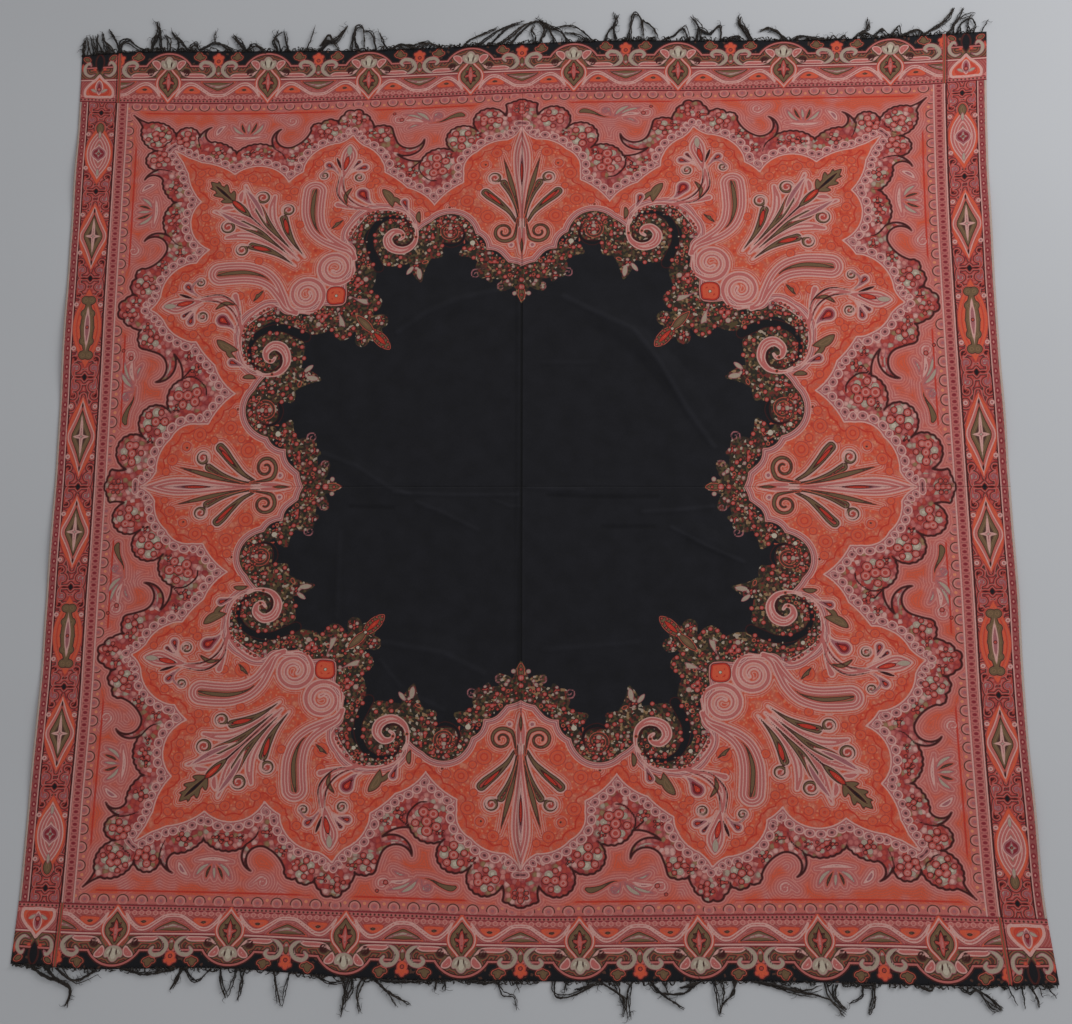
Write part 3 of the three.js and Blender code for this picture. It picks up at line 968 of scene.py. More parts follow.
def within(loop: np.ndarray, across: np.ndarray, along: float) -> np.ndarray:
    """Which places of one chart row lie inside a closed outline.

    Args:
        loop: corners of the outline.
        across: places across of the row.
        along: the row's place along.

    Returns:
        True for each place that lies inside.
    """
    x0, y0 = loop.T
    x1, y1 = np.roll(loop, -1, axis=0).T
    level = along + 1e-4
    cut = (y0 > level) != (y1 > level)
    hits = x0[cut] + (level - y0[cut]) * (x1[cut] - x0[cut]) / (y1[cut] - y0[cut])
    return (hits[None, :] > across[:, None]).sum(1) % 2 == 1


class Socket:
    """One number that varies over a surface: a node's output with arithmetic on it."""

    def __init__(self, sheet: "NodeSheet", output: bpy.types.NodeSocket) -> None:
        """Wrap an output of a node of the sheet."""
        self.sheet = sheet
        self.output = output

    def math(self, operation: str, *others: "Number", clamp: bool = False) -> "Socket":
        """Another number worked out from this one.

        Args:
            operation: name of the Math node's operation.
            others: the further values that it takes.
            clamp: keep the result within 0 and 1.

        Returns:
            The result.
        """
        inputs = dict(enumerate((self, *others)))
        made = self.sheet.node("ShaderNodeMath", {"operation": operation, "use_clamp": clamp}, inputs)
        return Socket(self.sheet, made.outputs[0])

    def __add__(self, other: "Number") -> "Socket":
        """Sum."""
        return self.math("ADD", other)

    __radd__ = __add__

    def __sub__(self, other: "Number") -> "Socket":
        """Difference."""
        return self.math("SUBTRACT", other)

    def __rsub__(self, other: "Number") -> "Socket":
        """Difference from a number."""
        return self.sheet.number(other).math("SUBTRACT", self)

    def __mul__(self, other: "Number") -> "Socket":
        """Product."""
        return self.math("MULTIPLY", other)

    __rmul__ = __mul__

    def __truediv__(self, other: "Number") -> "Socket":
        """Quotient."""
        return self.math("DIVIDE", other)

    def __abs__(self) -> "Socket":
        """Size without sign."""
        return self.math("ABSOLUTE")

    def least(self, other: "Number") -> "Socket":
        """The smaller of two."""
        return self.math("MINIMUM", other)

    def most(self, other: "Number") -> "Socket":
        """The greater of two."""
        return self.math("MAXIMUM", other)

    def cell(self, pitch: float) -> "Socket":
        """Distance from the middle of a repeat of that pitch, from minus half to half."""
        return ((self / pitch).math("FRACT") - 0.5) * pitch

    def inside(self, soft: float = 0.45) -> "Socket":
        """Cover from 0 to 1 of what lies inside a signed distance, with a soft edge."""
        return (self / (2 * soft)).math("ADD", 0.5, clamp=True)

    def ring(self, middle: float, half: float, soft: float = 0.4) -> "Socket":
        """Cover of a band of this distance, given the band's middle and half width."""
        return (half - abs(self - middle)).inside(soft)


Number = Union[Socket, float]
Paint = Union[Colour, Socket]


def linear(colour: Colour) -> tuple[float, float, float, float]:
    """Display colour of 0 to 255 as the shader's linear colour."""
    shares = [channel / 255 for channel in colour]
    low = [share / 12.92 if share <= 0.04045 else ((share + 0.055) / 1.055) ** 2.4 for share in shares]
    return (*low, 1.0)


class NodeSheet:
    """The node tree of one material."""

    SPECULAR = 0.18
    SHEEN = 0.06
    SHEEN_ROUGHNESS = 0.5

    def __init__(self, name: str) -> None:
        """Make a material with an empty Principled surface."""
        self.material = bpy.data.materials.new(name)
        self.material.use_nodes = True
        self.tree = self.material.node_tree
        self.surface = self.tree.nodes["Principled BSDF"]

    def node(self, kind: str, settings: dict, inputs: dict) -> bpy.types.Node:
        """Add a node.

        Args:
            kind: the node's type.
            settings: its properties, set first; stops is a ramp's list of place and colour.
            inputs: values or sockets for its inputs, by name or number.

        Returns:
            The node.
        """
        made = self.tree.nodes.new(kind)
        for name, value in settings.items():
            if name == "stops":
                self._set_stops(made.color_ramp, value)
            elif name == "interpolation":
                made.color_ramp.interpolation = value
            else:
                setattr(made, name, value)
        for name, value in inputs.items():
            self._feed(made.inputs[name], value)
        return made

    def _set_stops(self, ramp: bpy.types.ColorRamp, stops: Sequence[tuple[float, Colour]]) -> None:
        """Give a ramp its stops."""
        for index, (place, colour) in enumerate(stops):
            element = ramp.elements[index] if index < 2 else ramp.elements.new(place)
            element.position = place
            element.color = linear(colour)

    def _feed(self, socket: bpy.types.NodeSocket, value: Union[Paint, Number]) -> None:
        """Link or set one input."""
        if isinstance(value, Socket):
            self.tree.links.new(value.output, socket)
        elif isinstance(value, bpy.types.NodeSocket):
            self.tree.links.new(value, socket)
        elif isinstance(value, tuple) and socket.type == "RGBA":
            socket.default_value = linear(value)
        else:
            socket.default_value = value

    def number(self, value: float) -> Socket:
        """A plain number as a socket."""
        made = self.node("ShaderNodeMath", {"operation": "ADD"}, {0: value, 1: 0.0})
        return Socket(self, made.outputs[0])

    def layer(self, name: str) -> Socket:
        """A layer of the chart, read at the surface."""
        made = self.node("ShaderNodeAttribute", {"attribute_name": name}, {})
        return Socket(self, made.outputs["Fac"])

    def noise(self, scale: float, detail: float = 2.0, stretch: Point = (1, 1)) -> Socket:
        """Noise on Object coordinates.

        Args:
            scale: repeats in a metre.
            detail: octaves.
            stretch: scale of its own across and along.

        Returns:
            The noise, about 0.5 on average.
        """
        place = self.node("ShaderNodeTexCoord", {}, {}).outputs["Object"]
        mapped = self.node("ShaderNodeMapping", {}, {"Vector": place, "Scale": (*stretch, 1)})
        made = self.node("ShaderNodeTexNoise", {},
                         {"Vector": mapped.outputs[0], "Scale": scale, "Detail": detail})
        return Socket(self, made.outputs["Fac"])

    def mosaic(self, size: float) -> tuple[Socket, Socket]:
        """Small cells scattered over the cloth.

        Args:
            size: about how wide a cell is, in millimetres.

        Returns:
            A number from 0 to 1 for each cell, and the distance from its middle in cell widths.
        """
        place = self.node("ShaderNodeTexCoord", {}, {}).outputs["Object"]
        made = self.node("ShaderNodeTexVoronoi", {"voronoi_dimensions": "2D"},
                         {"Vector": place, "Scale": 1 / (size * MM)})
        parts = self.node("ShaderNodeSeparateColor", {}, {0: made.outputs["Color"]})
        return Socket(self, parts.outputs[0]), Socket(self, made.outputs["Distance"])

    def ramp(self, value: Socket, span: float, stops: Sequence[tuple[float, Colour]],
             stepped: bool = True) -> Socket:
        """Colour looked up by a number.

        Args:
            value: the number.
            span: the number at the ramp's end.
            stops: numbers and colours.
            stepped: hold each colour up to the next stop.

        Returns:
            The colour.
        """
        settings = {"interpolation": "CONSTANT" if stepped else "LINEAR",
                    "stops": [(place / span, colour) for place, colour in stops]}
        made = self.node("ShaderNodeValToRGB", settings, {"Fac": value / span})
        return Socket(self, made.outputs["Color"])

    def paint(self, under: Paint, over: Paint, cover: Number, blend: str = "MIX") -> Socket:
        """One colour laid over another.

        Args:
            under: the colour beneath.
            over: the colour above.
            cover: how much of it shows, 0 to 1.
            blend: the Mix node's way of blending.

        Returns:
            The colour that shows.
        """
        made = self.node("ShaderNodeMix", {"data_type": "RGBA", "blend_type": blend},
                         {0: cover, 6: under, 7: over})
        return Socket(self, made.outputs[2])

    def finish(self, colour: Paint, roughness: float, height: Socket, depth: float) -> None:
        """Connect the surface.

        Args:
            colour: its base colour.
            roughness: its roughness.
            height: bump height, 0 to 1.
            depth: what a height of 1 stands for, in metres.
        """
        self._feed(self.surface.inputs["Base Color"], colour)
        self.surface.inputs["Roughness"].default_value = roughness
        self.surface.inputs["Specular IOR Level"].default_value = self.SPECULAR
        self.surface.inputs["Sheen Weight"].default_value = self.SHEEN
        self.surface.inputs["Sheen Roughness"].default_value = self.SHEEN_ROUGHNESS
        bump = self.node("ShaderNodeBump", {}, {"Height": height, "Distance": depth})
        self._feed(self.surface.inputs["Normal"], bump.outputs[0])


@dataclass(frozen=True)
class Dyes:
    """Yarn colours of the weave, as the display shows them."""

    black: Colour = (27, 27, 31)
    night: Colour = (50, 46, 38)
    orange: Colour = (208, 88, 62)
    ember: Colour = (194, 90, 72)
    flame: Colour = (186, 56, 44)
    apricot: Colour = (212, 132, 100)
    rose: Colour = (184, 102, 98)
    petal: Colour = (198, 128, 120)
    blush: Colour = (206, 156, 148)
    mauve: Colour = (160, 98, 102)
    brick: Colour = (174, 70, 62)
    madder: Colour = (152, 80, 78)
    crimson: Colour = (134, 44, 52)
    maroon: Colour = (64, 28, 28)
    olive: Colour = (112, 88, 64)
    brown: Colour = (82, 54, 46)
    gold: Colour = (146, 114, 84)
    bronze: Colour = (130, 100, 74)
    grey_green: Colour = (168, 150, 134)
    cream: Colour = (190, 178, 160)
    selvedge: Colour = (178, 160, 150)
    carmine: Colour = (192, 68, 52)
    scarlet: Colour = (186, 64, 50)
    peach: Colour = (206, 124, 100)
    russet: Colour = (158, 66, 64)
    moss: Colour = (84, 70, 48)
    umber: Colour = (56, 42, 36)
    garnet: Colour = (112, 50, 44)
    pitch: Colour = (32, 32, 37)
    # Painted shadow of the middle crease.
    crease_shadow: Colour = (17, 17, 20)


DYES = Dyes()

FIGURE_BANDS: dict[Style, tuple[tuple[float, Colour], ...]] = {
    GLOW: ((0, DYES.brick), (1.4, DYES.orange), (4.4, DYES.ember), (6.2, DYES.carmine),
                 (8.4, DYES.orange)),
    HORN: ((0, DYES.blush), (1.8, DYES.rose), (5.2, DYES.blush), (6.8, DYES.rose),
                 (10.2, DYES.blush), (11.8, DYES.rose), (15.0, DYES.olive)),
    PLUME: ((0, DYES.blush), (1.5, DYES.brown), (3.4, DYES.olive), (5.6, DYES.brown),
                  (7.0, DYES.brick)),
    LEAF: ((0, DYES.ember), (0.9, DYES.brown), (2.4, DYES.olive), (5.4, DYES.bronze),
                 (6.6, DYES.olive), (8.6, DYES.brown)),
    DROP: ((0, DYES.blush), (1.9, DYES.mauve), (4.6, DYES.crimson)),
    RED: ((0, DYES.maroon), (1.0, DYES.flame), (3.4, DYES.orange)),
    SAGE: ((0, DYES.mauve), (0.9, DYES.grey_green), (4.6, DYES.cream)),
    INK: ((0, DYES.maroon), (1.3, DYES.black)),
    BERRY: ((0, DYES.maroon), (0.9, DYES.brick), (2.2, DYES.rose), (3.6, DYES.petal),
                  (5.2, DYES.brick)),
    PEARL: ((0, DYES.brown), (0.6, DYES.cream)),
}
BAND_SPAN = 20.0


@dataclass(frozen=True)
class Line:
    """A stripe of one colour at a distance from some edge."""

    middle: float
    half: float
    dye: Colour


@dataclass(frozen=True)
class WovenFinish:
    """What all the woven pieces share: figures on a ground, stitch fleck, painted crease shade, twill and
    fine bump.
    """

    roughness: float = 0.92
    fleck: float = 0.42
    slow: float = 0.18
    # Strength of the painted shade in crease troughs and painted highlight on crease ridges.
    press: float = 0.2
    twill_pitch: float = 0.0016
    twill_angle: float = 38.0
    stitch_scale: float = 560.0
    shade_scale: float = 9.0
    uneven_scale: float = 60.0
    depth: float = 0.0005

    def figures(self, sheet: NodeSheet, ground: Socket) -> Socket:
        """Lay the figures of every style over a ground.

        Args:
            sheet: the material's nodes.
            ground: colour of the ground.

        Returns:
            The colour with the figures on it.
        """
        colour = ground
        for style, bands in FIGURE_BANDS.items():
            depth = sheet.layer(style.value)
            colour = sheet.paint(colour, sheet.ramp(depth, BAND_SPAN, bands), depth.inside())
        return colour

    def lines(self, sheet: NodeSheet, colour: Paint, place: Socket, rows: Sequence[Line]) -> Socket:
        """Lay stripes over a colour.

        Args:
            sheet: the material's nodes.
            colour: the colour so far.
            place: distance from the edge that the stripes follow.
            rows: the stripes.

        Returns:
            The colour with the stripes on it.
        """
        for row in rows:
            colour = sheet.paint(colour, row.dye, place.ring(row.middle, row.half))
        return colour

    def weave(self, sheet: NodeSheet, colour: Socket) -> None:
        """Add the fleck of single stitches, a slow change of shade, painted shade and highlight on the
        creases and the twill's bump.

        Args:
            sheet: the material's nodes.
            colour: colour of the pattern.
        """
        stitch = sheet.noise(self.stitch_scale, 2, (1, 0.6))
        slow = sheet.noise(self.shade_scale, 3)
        # Painted shade and highlight: the fine creases' height darkens the colour in troughs and lightens it
        # on ridges.
        pressed = sheet.layer("press") * self.press
        shade = 1 + (stitch - 0.5) * self.fleck + (slow - 0.5) * self.slow + pressed
        grey = sheet.node("ShaderNodeCombineColor", {}, {0: shade, 1: shade, 2: shade})
        shaded = sheet.paint(colour, Socket(sheet, grey.outputs[0]), 1.0, "MULTIPLY")
        place = sheet.node("ShaderNodeTexCoord", {}, {}).outputs["Object"]
        turned = sheet.node("ShaderNodeMapping", {},
                            {"Vector": place, "Rotation": (0, 0, math.radians(self.twill_angle))})
        twill = sheet.node("ShaderNodeTexWave", {"bands_direction": "X"},
                           {"Vector": turned.outputs[0], "Scale": 0.31 / self.twill_pitch})
        uneven = sheet.noise(self.uneven_scale, 2)
        height = Socket(sheet, twill.outputs["Fac"]) * 0.4 + stitch * 0.4 + uneven * 0.5
        sheet.finish(shaded, self.roughness, height, self.depth)


@dataclass(frozen=True)
class FieldFinish(WovenFinish):
    """The field: black middle, jewelled edge, flame ground, lace, cloud band and side borders."""

    frame_across: float = 697.0
    frame_along: float = 709.0
    arch_pitch: float = 30.4
    arch_shift: float = 2.7
    rim: float = 12.0
    lace_middle: float = 10.5
    lace_ring: float = 6.6

    def material(self) -> bpy.types.Material:
        """The field's outer face."""
        sheet = NodeSheet("field_weave")
        across = sheet.layer("across")
        along = sheet.layer("along")
        near = sheet.layer("near")
        cloud, lace, jewel = (sheet.layer(name) for name in ("cloud", "lace", "jewel"))
        colour = self.outer_ground(sheet, cloud, near)
        colour = self.frame_rows(sheet, colour, across, along, cloud)
        colour = sheet.paint(colour, self.cloud_ground(sheet), cloud.inside())
        colour = self.lace_band(sheet, colour, lace)
        colour = sheet.paint(colour, self.flame_ground(sheet, lace, near), lace.inside())
        colour = self.lines(sheet, colour, lace, (Line(-1.0, 1.1, DYES.blush), Line(-3.4, 0.6, DYES.mauve)))
        colour = sheet.paint(colour, self.jewel_rim(sheet, jewel), (jewel + self.rim).inside())
        colour = sheet.paint(colour, self.black_cloth(sheet), jewel.inside())
        night = jewel.least(sheet.layer("dusk"))
        colour = sheet.paint(colour, self.jewel_ground(sheet), night.inside())
        colour = self.side_border(sheet, colour, across, along, near)
        colour = self.figures(sheet, colour)
        colour = sheet.paint(colour, DYES.maroon, cloud.ring(0.2, 1.9, 0.9))
        colour = sheet.paint(colour, DYES.selvedge, (across - 782.5).inside())
        self.weave(sheet, colour)
        return sheet.material

    def outer_ground(self, sheet: NodeSheet, cloud: Socket, near: Socket) -> Socket:
        """Rose ground outside the cloud, lined along its edge, with orange patches far from it."""
        away = near.least(-1 * cloud)
        wave = (away / 4.2).math("FRACT")
        rose = sheet.ramp(wave, 1, ((0, DYES.rose), (0.5, DYES.petal), (0.9, DYES.rose)))
        warm = sheet.ramp(wave, 1, ((0, DYES.ember), (0.5, DYES.orange), (0.9, DYES.ember)))
        patch = (away - 9).inside(6) * ((sheet.noise(22, 2) - 0.34) * 5).math("ADD", 0, clamp=True)
        return sheet.paint(rose, warm, patch)

    def cloud_ground(self, sheet: NodeSheet) -> Socket:
        """Small petals of every red with dark gaps."""
        number, away = sheet.mosaic(8.4)
        petals = sheet.ramp(number, 1, (
            (0, DYES.rose), (0.16, DYES.brick), (0.32, DYES.blush), (0.42, DYES.brick), (0.54, DYES.petal),
            (0.66, DYES.russet), (0.76, DYES.gold), (0.85, DYES.rose), (0.93, DYES.grey_green)))
        return sheet.paint(petals, DYES.crimson, (away - 0.44).inside(0.14) * 0.6)

    def lace_band(self, sheet: NodeSheet, colour: Socket, lace: Socket) -> Socket:
        """Pale scallops with a dark mark in each, outside the flame ground.

        Args:
            sheet: the material's nodes.
            colour: the colour so far.
            lace: distance inside the flame ground.

        Returns:
            The colour with the scallops on it.
        """
        x = sheet.layer("lace_run").cell(1.0) * LACE_PITCH
        y = lace + self.lace_middle
        ring = (x * x + y * y).math("SQRT")
        cover = (self.lace_ring + 1.2 - ring).most(lace + self.lace_middle).inside()
        colour = sheet.paint(colour, DYES.rose, cover)
        colour = sheet.paint(colour, DYES.mauve, (self.lace_ring - ring).inside())
        colour = sheet.paint(colour, DYES.blush, ring.ring(self.lace_ring, 1.0))
        colour = sheet.paint(colour, DYES.petal, ring.ring(3.6, 0.7) * 0.7)
        return sheet.paint(colour, DYES.maroon, (2.0 - ring).inside(0.8) * 0.8)

    def flame_ground(self, sheet: NodeSheet, lace: Socket, near: Socket) -> Socket:
        """Orange ground with looped flame lines inside its edge and pale feathering by the figures.

        Args:
            sheet: the material's nodes.
            lace: distance inside the ground.
            near: distance to the nearest figure.

        Returns:
            The ground's colour.
        """
        scallop = abs((sheet.layer("lace_run") * (math.pi / 2)).math("SINE"))
        loop = lace - scallop * 4.5
        _, away = sheet.mosaic(8.6)
        dots = (0.2 - away).inside(0.06) * (lace - 12).inside(1)
        colour = sheet.ramp(sheet.noise(70, 3), 1, (
            (0.3, DYES.scarlet), (0.46, DYES.orange), (0.56, DYES.ember), (0.72, DYES.peach)), stepped=False)
        colour = sheet.paint(colour, DYES.apricot, dots * 0.7)
        colour = sheet.paint(colour, DYES.flame, loop.ring(8.5, 1.2, 0.8))
        colour = sheet.paint(colour, DYES.flame, loop.ring(20, 0.9, 0.8) * 0.6)
        feather = sheet.ramp((near / 3.4).math("FRACT"), 1, (
            (0, DYES.blush), (0.4, DYES.ember), (0.9, DYES.blush)))
        return sheet.paint(colour, feather, (7.5 - near).inside(2.0) * 0.6)

    def jewel_rim(self, sheet: NodeSheet, jewel: Socket) -> Socket:
        """Fine pale lines round the black middle."""
        return sheet.ramp(jewel + self.rim, self.rim, (
            (0, DYES.blush), (1.4, DYES.rose), (3.6, DYES.petal), (4.8, DYES.mauve), (6.6, DYES.blush),
            (7.8, DYES.mauve), (9.4, DYES.petal), (10.8, DYES.brown)))

    def black_cloth(self, sheet: NodeSheet) -> Socket:
        """Plain black twill, hardly uneven, with a painted shadow line down the pressed middle crease."""
        cloth = sheet.ramp(sheet.noise(30, 3), 1, (
            (0.3, DYES.black), (0.7, DYES.pitch)), stepped=False)
        # Painted shadow: a dark line along the middle crease.
        return sheet.paint(cloth, DYES.crease_shadow, sheet.layer("across").ring(0.6, 1.4, 0.8) * 0.9)

    def jewel_ground(self, sheet: NodeSheet) -> Socket:
        """Dark olive ground with small specks of the other dyes."""
        number, _ = sheet.mosaic(3.8)
        return sheet.ramp(number, 1, (
            (0, DYES.night), (0.26, DYES.moss), (0.46, DYES.umber), (0.64, DYES.garnet),
            (0.76, DYES.gold), (0.84, DYES.brown), (0.94, DYES.grey_green)))

    def frame_rows(self, sheet: NodeSheet, colour: Socket, across: Socket, along: Socket,
                   cloud: Socket) -> Socket:
        """Row of arches and red line just inside the side borders and the end seams.

        Args:
            sheet: the material's nodes.
            colour: the colour so far.
            across: place across.
            along: place along.
            cloud: distance inside the cloud.

        Returns:
            The colour with the rows on it.
        """
        to_side = self.frame_across - across
        to_end = self.frame_along - along
        open_ground = (-1 * cloud - 9).inside(2)
        for depth, other, run in ((to_side, to_end, along), (to_end, to_side, across)):
            x = (run + self.arch_shift).cell(self.arch_pitch)
            arch = ((depth - 3).math("POWER", 2) + x * x).math("SQRT")
            between = abs(x).math("SUBTRACT", self.arch_pitch / 2)
            dot = ((depth - 8).math("POWER", 2) + between * between).math("SQRT")
            shown = (other + 8).inside() * open_ground
            colour = sheet.paint(colour, DYES.rose, (13 - depth).inside() * shown * 0.8)
            colour = sheet.paint(colour, DYES.petal, (8 - arch).inside() * shown)
            colour = sheet.paint(colour, DYES.rose, (5.6 - arch).inside() * shown)
            colour = sheet.paint(colour, DYES.mauve, (2.6 - arch).inside() * shown)
            cup = arch.ring(9, 0.9) * (depth - 1).inside(1)
            colour = sheet.paint(colour, DYES.brown, cup * shown)
            colour = sheet.paint(colour, DYES.apricot, (2.6 - dot).inside() * shown)
            line = depth.ring(18.5, 1.5, 0.8) * (other - 30).inside(3) * (-1 * cloud - 16).inside(3)
            colour = sheet.paint(colour, DYES.flame, line)
        return colour

    def side_border(self, sheet: NodeSheet, colour: Socket, across: Socket, along: Socket,
                    near: Socket) -> Socket:
        """Grounds and guards of the side border, from the arches out to the selvedge.

        Args:
            sheet: the material's nodes.
            colour: the colour so far.
            across: place across.
            along: place along.
            near: distance to the nearest figure.

        Returns:
            The colour with the border on it.
        """
        x = along.cell(10.5)
        colour = sheet.paint(colour, DYES.madder, (across - self.frame_across).inside())
        mark = (x * x + (across - 707).math("POWER", 2) * 0.5).math("SQRT")
        colour = sheet.paint(colour, DYES.rose, mark.ring(3.8, 0.9))
        colour = sheet.paint(colour, DYES.crimson, (2.4 - mark).inside())
        ground = sheet.ramp((near / 4.0).math("FRACT"), 1, (
            (0, DYES.brick), (0.3, DYES.rose), (0.55, DYES.brown), (0.8, DYES.crimson)))
        colour = sheet.paint(colour, ground, (across - 717).inside())
        colour = self.lines(sheet, colour, across, (
            Line(698.4, 1.2, DYES.blush), Line(701.6, 0.7, DYES.rose), Line(713.4, 0.7, DYES.petal),
            Line(716.2, 1.1, DYES.blush), Line(719.0, 1.2, DYES.maroon), Line(769.5, 1.2, DYES.maroon),
            Line(776.0, 5.6, DYES.madder), Line(771.4, 0.8, DYES.blush)))
        x = along.cell(15.5)
        guard = (x * x * 0.5 + (across - 776.5).math("POWER", 2)).math("SQRT")
        colour = sheet.paint(colour, DYES.crimson, (3.6 - guard).inside())
        return sheet.paint(colour, DYES.petal, (1.4 - guard).inside())


@dataclass(frozen=True)
class BorderFinish(WovenFinish):
    """An end border: guards at the seam, arches, medallions, scrolls and a black edge."""

    corner: float = 719.0
    line: float = 43.0

    def material(self) -> bpy.types.Material:
        """The end border's outer face."""
        sheet = NodeSheet("border_weave")
        across = sheet.layer("across")
        out = sheet.layer("out")
        wave = (sheet.layer("near") / 4.0).math("FRACT")
        lower = sheet.ramp(wave, 1, (
            (0, DYES.madder), (0.34, DYES.rose), (0.6, DYES.madder), (0.84, DYES.brick)))
        upper = sheet.ramp(wave, 1, (
            (0, DYES.brown), (0.34, DYES.olive), (0.7, DYES.brick), (0.88, DYES.brown)))
        colour = sheet.paint(lower, upper, (out - self.line).inside())
        edge = sheet.layer("dome").most(73 - out)
        number, _ = sheet.mosaic(4)
        night = sheet.ramp(number, 1, ((0, DYES.black), (0.9, DYES.brown), (0.95, DYES.black)))
        colour = sheet.paint(colour, night, (-1 * edge).inside())
        colour = self.lines(sheet, colour, edge, (Line(0.8, 0.9, DYES.maroon), Line(3.4, 1.5, DYES.rose),
                                                  Line(5.8, 0.8, DYES.maroon)))
        colour = self.lines(sheet, colour, out, (
            Line(1.0, 1.1, DYES.crimson), Line(4.8, 2.4, DYES.rose), Line(8.4, 1.0, DYES.crimson),
            Line(11.5, 1.8, DYES.rose), Line(42.4, 0.8, DYES.crimson), Line(44.6, 1.3, DYES.blush),
            Line(46.8, 0.8, DYES.crimson)))
        x = across.cell(6.5)
        beads = (x * x + (out - 4.8).math("POWER", 2)).math("SQRT")
        colour = sheet.paint(colour, DYES.brown, (1.7 - beads).inside())
        x = across.cell(11)
        loops = (x * x + (out - 12).math("POWER", 2)).math("SQRT")
        colour = sheet.paint(colour, DYES.petal, loops.ring(3.2, 0.8))
        colour = self.figures(sheet, colour)
        colour = sheet.paint(colour, DYES.brick, abs(across).ring(self.corner - 3, 2.8))
        colour = sheet.paint(colour, DYES.olive, abs(across).ring(self.corner - 3, 1.0))
        colour = sheet.paint(colour, DYES.maroon, abs(across).ring(self.corner + 1.4, 0.9))
        self.weave(sheet, colour)
        return sheet.material


@dataclass(frozen=True)
class ReverseFinish(WovenFinish):
    """The underside: floating weft yarns in muted stripes."""

    def material(self) -> bpy.types.Material:
        """The underside and the cut edge."""
        sheet = NodeSheet("reverse_floats")
        colour = sheet.ramp(sheet.noise(120, 3, (0.2, 1)), 1, (
            (0.25, DYES.brown), (0.45, DYES.crimson), (0.55, DYES.rose), (0.7, DYES.olive)), stepped=False)
        self.weave(sheet, colour)
        return sheet.material


@dataclass(frozen=True)
class YarnFinish:
    """Black twisted wool yarn, lighter grey on the crowns of its plies and browned at the tips."""

    dark: Colour = (26, 27, 31)
    crown_grey: Colour = (50, 48, 48)
    brown: Colour = (74, 64, 56)
    roughness: float = 0.95
    depth: float = 0.0006

    def material(self) -> bpy.types.Material:
        """The fringe's yarn."""
        sheet = NodeSheet("fringe_yarn")
        ply = sheet.layer("ply")
        # Lighter grey where the plies swell out.
        colour = sheet.ramp(ply, 1, ((0, self.dark), (1, self.crown_grey)), stepped=False)
        colour = sheet.paint(colour, self.brown, sheet.layer("age"))
        sheet.finish(colour, self.roughness, ply + sheet.noise(900, 2), self.depth)
        return sheet.material


@dataclass(frozen=True)
class FloorFinish:
    """Plain pale studio floor."""

    dark: Colour = (188, 190, 194)
    light: Colour = (196, 198, 202)

    def material(self) -> bpy.types.Material:
        """The floor's surface."""
        sheet = NodeSheet("studio_floor")
        cloudy = sheet.noise(1.2, 2)
        tone = sheet.ramp(cloudy, 1, ((0.2, self.dark), (0.8, self.light)), stepped=False)
        sheet.finish(tone, 0.85, cloudy, 0.0001)
        return sheet.material


